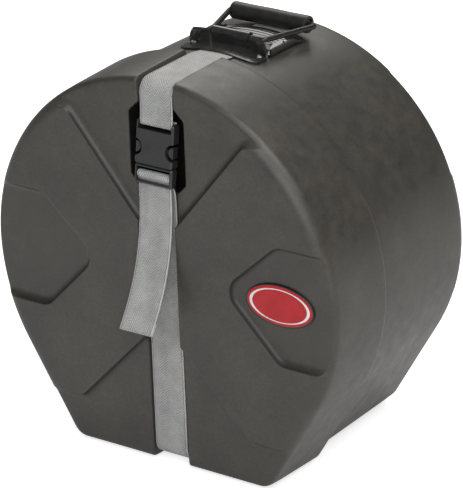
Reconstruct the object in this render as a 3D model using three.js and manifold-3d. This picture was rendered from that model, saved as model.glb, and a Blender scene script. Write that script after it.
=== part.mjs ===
// A moulded drum case that stands on its flat bottom: a front lid that slides over a rear base, one web strap
// with a side-release buckle, and a steel handle on top. Millimetres, +X right, +Y to the rear, +Z up.
import * as THREE from 'three';
import { mergeVertices } from 'three/addons/utils/BufferGeometryUtils.js';
import Module from 'manifold-3d';

const wasm = await Module();
wasm.setup();

// Driving dimensions of the whole case
const body = {
  radius: 203.8,
  bottomSink: 2.9,
  bottomHalfWidth: 116.5,
  cornerRadius: 20.9,
  leastCorner: 6,
  depth: 245.3,
};
const fit = { gap: 0.3, overrun: 4, lip: 0.4 };

// The front lid and the rear base
const lid = { depth: 87.3, wall: 5, draft: 2.3, edgeRadius: 14 };
const base = { step: 7.2, overlap: 37, wall: 5, draft: 2.6, edgeRadius: 14, lipRun: 1.5 };
const steps = { arc: 48, corner: 4, edge: 4, round: 3, plate: 12 };

// The relief of both faces: raised wings with sunk pads, given as shares of the radius from the circle's centre
const relief = { depth: 6.5, slope: 5, padDepth: 5.8, corner: 9, padCorner: 12 };
const wingShares = { outerX: 0.505, outerTop: 0.78, innerTop: 0.295, innerLow: -0.348, lowerX: 0.49, outerLow: -0.744 };
const padShares = { innerX: 0.388, innerZ: 0.0265, outerX: 0.683, top: 0.29, low: -0.274 };

// The strap, its groove and the pocket that the buckle lies in
const strap = { width: 38, thickness: 1.6, bendSteps: 6 };
const groove = { side: 2, skirtDepth: 7.5, faceDepth: 3.8, backWall: 4, bend: 12, rearDepth: 3.8 };
const pocket = { fingerRoom: 10, halfHeight: 43, chamfer: 11, depth: 17.5, taper: 2, heightShare: 0.648 };
const tail = { length: 136, curl: 41, bendPower: 2.5, points: 9 };

// The side-release buckle, in its own frame: the strap bar of the socket is the origin
const buckle = {
  abovePocket: 23.94, setBack: 0.5, tilt: 9, frame: 3, thickness: 11, corner: 2.5, bevel: 1.2, barRadius: 2.1,
  slot: 7, length: 41, windowRadius: 8.5, windowDrop: 25, cavityHalfHeight: 3.2, cavitySide: 3.4, cavityRoof: 5,
};
const plug = {
  length: 19, thickness: 9, shoulder: 2.4, barDrop: 9.8, railRadius: 1.8, railForward: 2.6,
  tongueHalf: 3.2, tongueThickness: 3, tongueLength: 27,
};
const prong = { rootX: 10.5, tipX: 12.5, armRadius: 2, thickness: 5, buttonRadius: 5.7, buttonThickness: 8, tipDrop: 17 };

// The handle on top of the base
const plate = {
  halfWidth: 46, front: 118, length: 56, thickness: 2, lobe: 13, archDepth: 6, wallSetBack: 12.5, wallThickness: 2,
  earWidth: 15, earHeight: 15, sideHeight: 8, sideLength: 26, corner: 3,
};
const hinge = { setBack: 16, rise: 11.5, wall: 2, halfLength: 29 };
const bail = { wireRadius: 2.8, reach: 66, rootHalf: 39, endHalf: 52, bend: 6, stub: 13, sides: 8 };
const grip = { radius: 8.8, length: 90, sides: 20 };
const rivet = { radius: 2.3, headRadius: 4, headHeight: 2, across: 39, inset: 5.5, sides: 12 };
const backing = { halfWidth: 8, thickness: 2 };

// Foam, feet and badge
const foam = { thickness: 12, rimInset: 20 };
const foot = { fromCentre: 76, halfWidth: 14, front: 22, rear: 18, taper: 3 };
const badge = { halfWidth: 39, halfHeight: 21.5, edge: 1.6, backing: 1, face: 1, ringInset: 4.2, ringWidth: 1.5,
  ringHeight: 0.5, xShare: 0.679, zShare: 0.008, sides: 40 };

const centreHeight = body.radius - body.bottomSink;
const topHeight = centreHeight + body.radius;
const halfTurn = Math.PI;
const quarterTurn = halfTurn / 2;

// Solids and meshes

function toSolid(geometry) {
  const bare = new THREE.BufferGeometry();
  bare.setAttribute('position', geometry.getAttribute('position').clone());
  if (geometry.index) bare.setIndex(geometry.index.clone());
  const merged = mergeVertices(bare);
  const vertProperties = new Float32Array(merged.getAttribute('position').array);
  const triVerts = new Uint32Array(merged.index.array);
  return new wasm.Manifold(new wasm.Mesh({ numProp: 3, vertProperties, triVerts }));
}

function toGeometry(solid) {
  const mesh = solid.getMesh();
  const geometry = new THREE.BufferGeometry();
  geometry.setAttribute('position', new THREE.BufferAttribute(mesh.vertProperties, 3));
  geometry.setIndex(new THREE.BufferAttribute(mesh.triVerts, 1));
  const faceted = geometry.toNonIndexed();
  faceted.computeVertexNormals();
  return faceted;
}

// A closed body through level outlines of the same number of points, each at its own y
function loft(levels) {
  const count = levels[0].points.length;
  const positions = levels.flatMap(({ y, points }) => points.flatMap((point) => [point.x, y, point.y]));
  const index = [];
  for (let level = 0; level + 1 < levels.length; level += 1) {
    for (let at = 0; at < count; at += 1) {
      const next = (at + 1) % count;
      const here = level * count;
      const above = here + count;
      index.push(here + at, above + at, above + next, here + at, above + next, here + next);
    }
  }
  const last = (levels.length - 1) * count;
  for (const [a, b, c] of THREE.ShapeUtils.triangulateShape(levels[0].points, [])) index.push(a, b, c);
  for (const [a, b, c] of THREE.ShapeUtils.triangulateShape(levels[levels.length - 1].points, [])) {
    index.push(last + a, last + c, last + b);
  }
  if (signedVolume(positions, index) < 0) index.reverse();
  const geometry = new THREE.BufferGeometry();
  geometry.setAttribute('position', new THREE.Float32BufferAttribute(positions, 3));
  geometry.setIndex(index);
  return toSolid(geometry);
}

function signedVolume(positions, index) {
  const corner = (at) => new THREE.Vector3().fromArray(positions, index[at] * 3);
  let volume = 0;
  for (let at = 0; at < index.length; at += 3) {
    volume += corner(at).dot(corner(at + 1).cross(corner(at + 2)));
  }
  return volume;
}

// An outline in the Y-Z plane carried along X, between two places
function acrossX(points, from, to) {
  const shape = new THREE.Shape(points);
  const geometry = new THREE.ExtrudeGeometry(shape, { depth: to - from, bevelEnabled: false });
  geometry.applyMatrix4(new THREE.Matrix4().makeBasis(
    new THREE.Vector3(0, 1, 0), new THREE.Vector3(0, 0, 1), new THREE.Vector3(1, 0, 0)));
  geometry.translate(from, 0, 0);
  return toSolid(geometry);
}

// An outline in the X-Z plane carried along Y, between two places
function alongY(points, from, to) {
  return loft([{ y: from, points }, { y: to, points }]);
}

function block(x, y, z) {
  const geometry = new THREE.BoxGeometry(x[1] - x[0], y[1] - y[0], z[1] - z[0]);
  geometry.translate((x[0] + x[1]) / 2, (y[0] + y[1]) / 2, (z[0] + z[1]) / 2);
  return toSolid(geometry);
}

function rod(radius, from, to, sides) {
  const start = new THREE.Vector3(...from);
  const along = new THREE.Vector3(...to).sub(start);
  const geometry = new THREE.CylinderGeometry(radius, radius, along.length(), sides);
  geometry.translate(0, along.length() / 2, 0);
  geometry.applyQuaternion(new THREE.Quaternion().setFromUnitVectors(new THREE.Vector3(0, 1, 0), along.normalize()));
  geometry.translate(start.x, start.y, start.z);
  return toSolid(geometry);
}

function union(...solids) {
  return solids.reduce((whole, next) => whole.add(next));
}

function mirrored(solid) {
  return solid.mirror([1, 0, 0]);
}

function both(solid) {
  return solid.add(mirrored(solid));
}

// Outlines

// Each corner of a polygon replaced by an arc of the given radius
function rounded(points, radii) {
  return points.flatMap((point, at) => {
    const before = points[(at + points.length - 1) % points.length];
    const after = points[(at + 1) % points.length];
    const radius = radii[at];
    if (radius === 0) return [point.clone()];
    const back = before.clone().sub(point).normalize();
    const on = after.clone().sub(point).normalize();
    const half = Math.acos(THREE.MathUtils.clamp(back.dot(on), -1, 1)) / 2;
    const reach = radius / Math.tan(half);
    const centre = point.clone().add(back.clone().add(on).normalize().multiplyScalar(radius / Math.sin(half)));
    const first = point.clone().addScaledVector(back, reach).sub(centre);
    const last = point.clone().addScaledVector(on, reach).sub(centre);
    const turn = Math.atan2(first.cross(last), first.dot(last));
    const arc = [];
    for (let step = 0; step <= steps.round; step += 1) {
      const angle = turn * step / steps.round;
      arc.push(first.clone().rotateAround(new THREE.Vector2(0, 0), angle).add(centre));
    }
    return arc;
  });
}

// A polygon with every side moved outwards by a distance; its corners run anticlockwise
function grown(points, distance) {
  return points.map((point, at) => {
    const before = points[(at + points.length - 1) % points.length];
    const after = points[(at + 1) % points.length];
    const first = point.clone().sub(before).normalize();
    const second = after.clone().sub(point).normalize();
    const outFirst = new THREE.Vector2(first.y, -first.x);
    const outSecond = new THREE.Vector2(second.y, -second.x);
    const middle = outFirst.clone().add(outSecond);
    return point.clone().addScaledVector(middle, distance / (1 + outFirst.dot(outSecond)));
  });
}

// The case seen from the front, moved inwards: flat bottom, round corners, straight sides and a round top
function caseOutline(inset) {
  const hypotenuse = Math.hypot(body.bottomHalfWidth, centreHeight);
  const sideAngle = Math.atan2(-centreHeight, body.bottomHalfWidth) + Math.acos(body.radius / hypotenuse);
  const radius = body.radius - inset;
  const corner = Math.max(body.cornerRadius - inset, body.leastCorner);
  const cornerZ = inset + corner;
  const cornerX = (radius - corner - (cornerZ - centreHeight) * Math.sin(sideAngle)) / Math.cos(sideAngle);
  const right = [];
  for (let step = 0; step <= steps.corner; step += 1) {
    const angle = -quarterTurn + (quarterTurn + sideAngle) * step / steps.corner;
    right.push(new THREE.Vector2(cornerX + corner * Math.cos(angle), cornerZ + corner * Math.sin(angle)));
  }
  const top = [];
  for (let step = 0; step <= steps.arc; step += 1) {
    const angle = sideAngle + (halfTurn - 2 * sideAngle) * step / steps.arc;
    top.push(new THREE.Vector2(radius * Math.cos(angle), centreHeight + radius * Math.sin(angle)));
  }
  const left = right.map((point) => new THREE.Vector2(-point.x, point.y)).reverse();
  return [...right, ...top, ...left];
}

function lidInset(y) {
  return lid.draft * (lid.depth - y) / lid.depth;
}

function baseInset(y) {
  return base.step + base.draft * (y - lid.depth) / (body.depth - lid.depth);
}

// Levels of a rounded edge that ends at a face; towards is +1 where the body lies at larger y
function edgeLevels(faceY, towards, radius, insetAt) {
  const levels = [];
  for (let step = 0; step <= steps.edge; step += 1) {
    const angle = quarterTurn * step / steps.edge;
    const y = faceY + towards * radius * (1 - Math.sin(angle));
    levels.push({ y, points: caseOutline(insetAt(y) + radius * (1 - Math.cos(angle))) });
  }
  return levels;
}

function grooveHalf() {
  return strap.width / 2 + groove.side;
}

function wingPoints() {
  const z = (share) => centreHeight + share * body.radius;
  const x = (share) => share * body.radius;
  const far = body.radius + body.cornerRadius;
  return [
    [0, z(wingShares.innerLow)], [grooveHalf(), z(wingShares.innerLow)],
    [x(wingShares.lowerX), z(wingShares.outerLow)], [far, z(wingShares.outerLow)],
    [far, z(wingShares.outerTop)], [x(wingShares.outerX), z(wingShares.outerTop)],
    [grooveHalf(), z(wingShares.innerTop)], [0, z(wingShares.innerTop)],
  ].map(([px, pz]) => new THREE.Vector2(px, pz));
}

function padPoints() {
  const z = (share) => centreHeight + share * body.radius;
  const x = (share) => share * body.radius;
  const far = body.radius + 2 * body.cornerRadius;
  return [
    [x(padShares.innerX), z(padShares.innerZ)], [x(padShares.outerX), z(padShares.low)], [far, z(padShares.low)],
    [far, z(padShares.top)], [x(padShares.outerX), z(padShares.top)],
  ].map(([px, pz]) => new THREE.Vector2(px, pz));
}

function wingOutline(grow) {
  return rounded(grown(wingPoints(), grow), [0, 0, relief.corner, 0, 0, relief.corner, 0, 0]);
}

function padOutline(grow) {
  return rounded(grown(padPoints(), grow), [relief.padCorner, relief.padCorner, 0, 0, relief.padCorner]);
}

// Both wings with their pads cut out, between a crest and a foot: the walls slope from crest to foot and run on
function wings(crestY, footY, deepY, padY, grow) {
  const past = (crestY - footY) / relief.depth;
  const half = relief.slope / 2;
  const beyond = crestY + past * fit.overrun;
  const shareBeyond = 1 + 2 * fit.overrun / relief.depth;
  const wing = loft([
    { y: beyond, points: wingOutline(grow - half * shareBeyond) },
    { y: footY, points: wingOutline(grow + half) },
    { y: deepY, points: wingOutline(grow + half) },
  ]);
  const pad = loft([
    { y: beyond, points: padOutline(half * shareBeyond - grow) },
    { y: padY, points: padOutline(-half - grow) },
  ]);
  return both(wing.subtract(pad));
}

// A frame that surrounds the core profile of a groove: what a strap groove cuts away
function grooveCut(core, halfWidth, y) {
  const low = -fit.overrun;
  const high = topHeight + fit.overrun;
  const outside = [[y.open, high], [y.closed, high], [y.closed, low], [y.open, low]];
  const points = [...outside.map(([py, pz]) => new THREE.Vector2(py, pz)), ...core];
  return acrossX(points, -halfWidth, halfWidth);
}

// The core profile, from its open end below, round the closed end and back above
function coreProfile(openY, closedY, lowZ, highZ, bend) {
  const points = [
    new THREE.Vector2(openY, lowZ), new THREE.Vector2(closedY, lowZ),
    new THREE.Vector2(closedY, highZ), new THREE.Vector2(openY, highZ),
  ];
  return rounded(points, [0, bend, bend, 0]);
}

const faceFloor = relief.depth + groove.faceDepth;
const rearFloor = body.depth - relief.depth - groove.rearDepth;
const lipFloor = groove.skirtDepth + groove.backWall + fit.lip;
const lipFront = lid.depth - base.overlap;
const pocketFloor = relief.depth + pocket.depth;
const pocketHeight = centreHeight + pocket.heightShare * body.radius;

function lidCore(shrink) {
  const depth = groove.skirtDepth + shrink;
  return coreProfile(lid.depth + fit.overrun, faceFloor + shrink, depth, topHeight - depth, groove.bend);
}

function baseCore(shrink, front) {
  const depth = lipFloor + shrink;
  return coreProfile(front, rearFloor - shrink, depth, topHeight - depth, groove.bend);
}

function pocketOutline(grow) {
  const side = strap.width / 2 + buckle.frame + pocket.fingerRoom;
  const waist = side - pocket.chamfer;
  const high = pocket.halfHeight;
  const shoulder = high - pocket.chamfer;
  const points = [
    [waist, -high], [side, -shoulder], [side, shoulder], [waist, high],
    [-waist, high], [-side, shoulder], [-side, -shoulder], [-waist, -high],
  ].map(([px, pz]) => new THREE.Vector2(px, pocketHeight + pz));
  return grown(points, grow);
}

// The lid

function lidOuter() {
  const low = relief.depth;
  const joinY = low + lid.edgeRadius;
  const sunk = loft([{ y: lid.depth, points: caseOutline(0) }, ...edgeLevels(low, 1, lid.edgeRadius, lidInset)]);
  const join = { y: joinY, points: caseOutline(lidInset(joinY)) };
  const raised = loft([join, ...edgeLevels(0, 1, lid.edgeRadius, lidInset)]);
  return sunk.add(raised.intersect(wings(0, low, joinY, relief.padDepth, 0)));
}

function lidCavity() {
  const insetAt = (y) => lid.wall + lidInset(y);
  const radius = lid.edgeRadius - lid.wall;
  const low = relief.depth + lid.wall;
  const joinY = low + radius;
  const open = { y: lid.depth + fit.overrun, points: caseOutline(insetAt(lid.depth + fit.overrun)) };
  const sunk = loft([open, ...edgeLevels(low, 1, radius, insetAt)]);
  const join = { y: joinY, points: caseOutline(insetAt(joinY)) };
  const raised = loft([join, ...edgeLevels(lid.wall, 1, radius, insetAt)]);
  return sunk.add(raised.intersect(wings(lid.wall, low, joinY, relief.padDepth + lid.wall, -lid.wall)));
}

function grooveBack() {
  const y = { open: lid.depth + fit.overrun, closed: -fit.overrun };
  return grooveCut(lidCore(groove.backWall), grooveHalf() + groove.backWall, y);
}

function pocketBack(grow) {
  return alongY(pocketOutline(lid.wall + grow), -fit.overrun, pocketFloor + lid.wall + grow);
}

function lidShell() {
  const y = { open: lid.depth + fit.overrun, closed: -fit.overrun };
  const cut = grooveCut(lidCore(0), grooveHalf(), y);
  const hollow = loft([
    { y: -fit.overrun, points: pocketOutline(0) },
    { y: relief.depth, points: pocketOutline(0) },
    { y: pocketFloor, points: pocketOutline(-pocket.taper) },
  ]);
  const cavity = lidCavity().subtract(grooveBack()).subtract(pocketBack(0));
  return lidOuter().subtract(cut).subtract(hollow).subtract(cavity);
}

// The base

function lipInset(y) {
  return lid.wall + fit.lip + lidInset(y);
}

function baseOuter() {
  const low = body.depth - relief.depth;
  const joinY = low - base.edgeRadius;
  const lipEnd = lid.depth + base.lipRun;
  const sunk = loft([
    { y: lipFront, points: caseOutline(lipInset(lipFront)) },
    { y: lid.depth, points: caseOutline(lipInset(lid.depth)) },
    { y: lipEnd, points: caseOutline(baseInset(lipEnd)) },
    ...edgeLevels(low, -1, base.edgeRadius, baseInset),
  ]);
  const raised = loft([
    { y: joinY, points: caseOutline(baseInset(joinY)) },
    ...edgeLevels(body.depth, -1, base.edgeRadius, baseInset),
  ]);
  return sunk.add(raised.subtract(rearDip(low, joinY)));
}

// What the raised rear parts leave free: both wings without their pads, with walls that open to the rear
function rearDip(low, deepY) {
  const half = relief.slope / 2;
  const beyond = body.depth + fit.overrun;
  const shareBeyond = 1 + 2 * fit.overrun / relief.depth;
  const wing = loft([
    { y: deepY - fit.overrun, points: wingOutline(-half) },
    { y: low, points: wingOutline(-half) },
    { y: beyond, points: wingOutline(half * shareBeyond) },
  ]);
  const pad = loft([
    { y: deepY - fit.overrun, points: padOutline(half) },
    { y: low, points: padOutline(half) },
    { y: beyond, points: padOutline(-half * shareBeyond) },
  ]);
  return both(wing.subtract(pad));
}

function baseCavity() {
  const insetAt = (y) => base.wall + baseInset(y);
  const radius = base.edgeRadius - base.wall;
  const rear = body.depth - relief.depth - base.wall;
  const front = lipFront - fit.overrun;
  return loft([{ y: front, points: caseOutline(insetAt(front)) }, ...edgeLevels(rear, -1, radius, insetAt)]);
}

function baseFeet() {
  const y = [lid.depth + foot.front, body.depth - foot.rear];
  const top = lipFloor;
  const slope = foot.taper;
  const side = acrossX([
    new THREE.Vector2(y[0] - slope, top), new THREE.Vector2(y[0], 0),
    new THREE.Vector2(y[1], 0), new THREE.Vector2(y[1] + slope, top),
  ], foot.fromCentre - foot.halfWidth, foot.fromCentre + foot.halfWidth);
  return both(side);
}

function baseShell() {
  const rear = body.depth + fit.overrun;
  const clear = grooveHalf() + groove.backWall + fit.lip;
  const lipY = { open: lipFront - fit.overrun, closed: lid.depth + base.lipRun };
  const slot = grooveCut(baseCore(0, lipY.open), grooveHalf(), { open: lipY.open, closed: rear });
  const lipCut = both(block([0, clear], [lipY.open, lipY.closed], [topHeight - lipFloor, topHeight]))
    .add(both(block([0, clear], [lipY.open, lipY.closed], [0, lipFloor])));
  const back = grooveCut(baseCore(base.wall, lipY.open), clear + base.wall, { open: lipY.open, closed: rear });
  const cavity = baseCavity().subtract(back);
  return baseOuter().subtract(cavity).add(baseFeet()).subtract(slot).subtract(lipCut).subtract(rivetHoles());
}

// Foam linings

function lidFoam() {
  const front = relief.depth + lid.wall + fit.gap;
  const pad = alongY(caseOutline(foam.rimInset), front, front + foam.thickness);
  const y = { open: lid.depth + fit.overrun, closed: -fit.overrun };
  const ridge = grooveCut(lidCore(groove.backWall + fit.gap), grooveHalf() + groove.backWall + fit.gap, y);
  return pad.subtract(ridge).subtract(pocketBack(fit.gap));
}

function baseFoam() {
  const rear = body.depth - relief.depth - base.wall - fit.gap;
  const pad = alongY(caseOutline(base.step + foam.rimInset), rear - foam.thickness, rear);
  const y = { open: lipFront, closed: body.depth + fit.overrun };
  const clear = grooveHalf() + groove.backWall + fit.lip + base.wall + fit.gap;
  return pad.subtract(grooveCut(baseCore(base.wall + fit.gap, lipFront), clear, y));
}

// The strap

// A band of webbing along a route in the Y-Z plane
function band(route) {
  const half = strap.thickness / 2;
  const normals = route.map((point, at) => {
    const before = route[Math.max(at - 1, 0)];
    const after = route[Math.min(at + 1, route.length - 1)];
    const along = after.clone().sub(before).normalize();
    return new THREE.Vector2(-along.y, along.x);
  });
  const one = route.map((point, at) => point.clone().addScaledVector(normals[at], half));
  const other = route.map((point, at) => point.clone().addScaledVector(normals[at], -half)).reverse();
  return acrossX([...one, ...other], -strap.width / 2, strap.width / 2);
}

const lift = fit.gap + strap.thickness / 2;

// Points on a quarter bend or any arc round a centre
function arc(centre, radius, from, to, count) {
  const points = [];
  for (let step = 0; step <= count; step += 1) {
    const angle = THREE.MathUtils.degToRad(from + (to - from) * step / count);
    points.push(new THREE.Vector2(centre.x + radius * Math.cos(angle), centre.y + radius * Math.sin(angle)));
  }
  return points;
}

// Places in the buckle's own frame, y to the rear and z up, as places in the case
const buckleOrigin = new THREE.Vector2(faceFloor + buckle.setBack, pocketHeight + buckle.abovePocket);
const buckleTilt = -THREE.MathUtils.degToRad(buckle.tilt);

function fromBuckle(y, z) {
  return new THREE.Vector2(y, z).rotateAround(new THREE.Vector2(0, 0), buckleTilt).add(buckleOrigin);
}

// Over the top of the lid and down to the socket, round its bar and up again behind
function upperRoute() {
  const high = topHeight - groove.skirtDepth;
  const bend = new THREE.Vector2(faceFloor + groove.bend, high - groove.bend);
  const wrap = buckle.barRadius + lift;
  const below = arc(new THREE.Vector2(0, 0), wrap, 180, 360, strap.bendSteps).map((p) => fromBuckle(p.x, p.y));
  return [
    new THREE.Vector2(lid.depth - fit.gap / 2, high + lift),
    ...arc(bend, groove.bend + lift, 90, 180, strap.bendSteps),
    new THREE.Vector2(faceFloor - lift, pocketHeight + pocket.halfHeight),
    fromBuckle(-wrap, buckle.slot),
    ...below,
    fromBuckle(wrap, buckle.slot),
    fromBuckle(wrap, 2 * buckle.slot),
  ];
}

const plugTop = -(buckle.length + fit.gap);
const barDrop = plugTop - plug.barDrop;
const railDrop = plugTop - plug.length + plug.railRadius;

// Along the bottom of the lid, up the front, round the plug's bar and down again as the free tail
function lowerRoute() {
  const low = groove.skirtDepth;
  const bend = new THREE.Vector2(faceFloor + groove.bend, low + groove.bend);
  const wrap = buckle.barRadius + lift;
  const inner = plug.railRadius - plug.railForward + lift;
  const outer = inner + strap.thickness + fit.gap;
  const over = arc(new THREE.Vector2(0, barDrop), wrap, 0, 210, 2 * strap.bendSteps).map((p) => fromBuckle(p.x, p.y));
  const exit = fromBuckle(inner, railDrop - plug.railRadius);
  const hanging = [];
  for (let step = 1; step <= tail.points; step += 1) {
    const share = step / tail.points;
    const reach = tail.curl * share ** tail.bendPower;
    hanging.push(new THREE.Vector2(exit.x - reach, exit.y - tail.length * share));
  }
  return [
    new THREE.Vector2(lid.depth - fit.gap / 2, low - lift),
    ...arc(bend, groove.bend + lift, 270, 180, strap.bendSteps),
    new THREE.Vector2(faceFloor - lift, pocketHeight - pocket.halfHeight),
    fromBuckle(outer, railDrop),
    ...over,
    fromBuckle(inner, railDrop + plug.railRadius),
    exit,
    ...hanging,
  ];
}

// From the top rim under the handle, down the rear and back along the bottom
function rearRoute() {
  const high = topHeight - lipFloor;
  const low = lipFloor;
  const start = lid.depth + fit.gap / 2;
  const topBend = new THREE.Vector2(rearFloor - groove.bend, high - groove.bend);
  const lowBend = new THREE.Vector2(rearFloor - groove.bend, low + groove.bend);
  return [
    new THREE.Vector2(start, topHeight - groove.skirtDepth + lift),
    new THREE.Vector2(start + fit.overrun, topHeight - groove.skirtDepth + lift),
    new THREE.Vector2(plate.front, high + lift),
    ...arc(topBend, groove.bend + lift, 90, 0, strap.bendSteps),
    ...arc(lowBend, groove.bend + lift, 0, -90, strap.bendSteps),
    new THREE.Vector2(plate.front, low - lift),
    new THREE.Vector2(start + fit.overrun, groove.skirtDepth - lift),
    new THREE.Vector2(start, groove.skirtDepth - lift),
  ];
}

// The buckle, in its own frame

const buckleSide = strap.width / 2 + buckle.frame;

// A flat piece with bevelled edges, its outline in the X-Z plane
function slab(points, thickness, bevel) {
  const depth = thickness - 2 * bevel;
  const options = { depth, bevelThickness: bevel, bevelSize: bevel, bevelOffset: -bevel, bevelSegments: 1 };
  const geometry = new THREE.ExtrudeGeometry(new THREE.Shape(points), options);
  geometry.rotateX(quarterTurn);
  geometry.translate(0, depth / 2, 0);
  return toSolid(geometry);
}

function rectangle(halfWidth, low, high, corner) {
  const points = [[-halfWidth, low], [halfWidth, low], [halfWidth, high], [-halfWidth, high]];
  return rounded(points.map(([px, pz]) => new THREE.Vector2(px, pz)), [corner, corner, corner, corner]);
}

function crossBar(radius, y, z) {
  const reach = strap.width / 2 + buckle.frame / 2;
  return rod(radius, [-reach, y, z], [reach, y, z], rivet.sides);
}

function buckleSocket() {
  const deep = buckle.thickness;
  const passHalf = strap.width / 2 + fit.gap;
  const whole = slab(rectangle(buckleSide, -buckle.length, buckle.barRadius, buckle.corner), deep, buckle.bevel);
  const pass = block([-passHalf, passHalf], [-deep, deep], [-buckle.slot, buckle.slot]);
  const roof = -(buckle.slot + buckle.cavityRoof);
  const cavityHalf = buckleSide - buckle.cavitySide;
  const y = [-buckle.cavityHalfHeight, buckle.cavityHalfHeight];
  const cavity = block([-cavityHalf, cavityHalf], y, [-buckle.length - fit.overrun, roof]);
  const drop = -buckle.windowDrop;
  const window = both(rod(buckle.windowRadius, [buckleSide, -deep, drop], [buckleSide, deep, drop], 2 * rivet.sides));
  return whole.subtract(pass).add(crossBar(buckle.barRadius, 0, 0)).subtract(cavity).subtract(window);
}

function bucklePlug() {
  const low = plugTop - plug.length;
  const passHalf = strap.width / 2 + fit.gap;
  const deep = plug.thickness;
  const whole = slab(rectangle(buckleSide, low, plugTop, buckle.corner), deep, buckle.bevel);
  const pass = block([-passHalf, passHalf], [-deep, deep], [low - fit.overrun, plugTop - plug.shoulder]);
  const tongueY = [-plug.tongueThickness / 2, plug.tongueThickness / 2];
  const tongueZ = [plugTop - plug.shoulder, plugTop + plug.tongueLength];
  const tongue = block([-plug.tongueHalf, plug.tongueHalf], tongueY, tongueZ);
  const rail = crossBar(plug.railRadius, -plug.railForward, railDrop);
  return whole.subtract(pass).add(crossBar(buckle.barRadius, 0, barDrop)).add(rail).add(tongue);
}

const prongRoot = plugTop + fit.gap + prong.armRadius;

// The right prong: an arm that bends at its root, with the button in the socket's side window
function buckleProng() {
  const half = prong.thickness / 2;
  const radius = prong.armRadius;
  const points = [
    [prong.rootX + radius, prongRoot], [prong.tipX + radius, -prong.tipDrop],
    [prong.tipX - radius, -prong.tipDrop], [prong.rootX - radius, prongRoot],
  ].map(([px, pz]) => new THREE.Vector2(px, pz));
  const arm = alongY(points, -half, half);
  const root = rod(radius, [prong.rootX, -half, prongRoot], [prong.rootX, half, prongRoot], rivet.sides);
  const drop = -buckle.windowDrop;
  const thick = prong.buttonThickness / 2;
  const disc = rod(prong.buttonRadius, [buckleSide, -thick, drop], [buckleSide, thick, drop], 2 * rivet.sides);
  const button = disc.intersect(block([0, buckleSide - fit.gap], [-thick, thick], [drop - prong.buttonRadius, 0]));
  const bridgeX = [prong.rootX, buckleSide - prong.buttonRadius + radius];
  const bridge = block(bridgeX, [-half, half], [drop - radius, drop + radius]);
  return union(arm, root, bridge, button);
}

// The handle

function baseTop(y) {
  return topHeight - baseInset(y);
}

const seatRadius = body.radius - baseInset(plate.front) + fit.gap;
const hingeY = plate.front + hinge.setBack;
const hingeZ = baseTop(hingeY) + hinge.rise;
const gripZ = baseTop(hingeY + bail.reach) + fit.gap + grip.radius;
const bailAngle = -Math.asin((hingeZ - gripZ) / bail.reach);

// A curved sheet that follows the round top of the case between two places across
function curvedSheet(innerRadius, thickness, fromX, toX, y) {
  const points = [];
  for (const [radius, from, to] of [[innerRadius, fromX, toX], [innerRadius + thickness, toX, fromX]]) {
    for (let step = 0; step <= steps.plate; step += 1) {
      const px = from + (to - from) * step / steps.plate;
      points.push(new THREE.Vector2(px, centreHeight + Math.sqrt(radius * radius - px * px)));
    }
  }
  return alongY(points, y[0], y[1]);
}

// An outline in the X-Y plane, standing between two heights
function upright(points, low, high) {
  const geometry = new THREE.ExtrudeGeometry(new THREE.Shape(points), { depth: high - low, bevelEnabled: false });
  geometry.translate(0, 0, low);
  return toSolid(geometry);
}

// The four rivets stand square to the round top
function rivetPlaces() {
  const rows = { front: plate.front + rivet.inset, rear: plate.front + plate.length - rivet.inset };
  const columns = { left: -rivet.across, right: rivet.across };
  return Object.entries(rows).flatMap(([row, y]) => Object.entries(columns).map(([column, x]) => (
    { name: `handle_rivet_${row}_${column}`, y, lean: Math.asin(x / seatRadius) })));
}

function backingRadius() {
  const rear = plate.front + plate.length;
  return body.radius - base.wall - baseInset(rear) - fit.gap - backing.thickness;
}

function rivetHoles() {
  const radius = rivet.radius + fit.gap;
  const holes = rivetPlaces().map(({ y, lean }) => {
    const near = backingRadius() - fit.overrun;
    const far = seatRadius + plate.thickness + fit.overrun;
    const at = (distance) => [distance * Math.sin(lean), y, centreHeight + distance * Math.cos(lean)];
    return rod(radius, at(near), at(far), rivet.sides);
  });
  return union(...holes);
}

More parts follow.
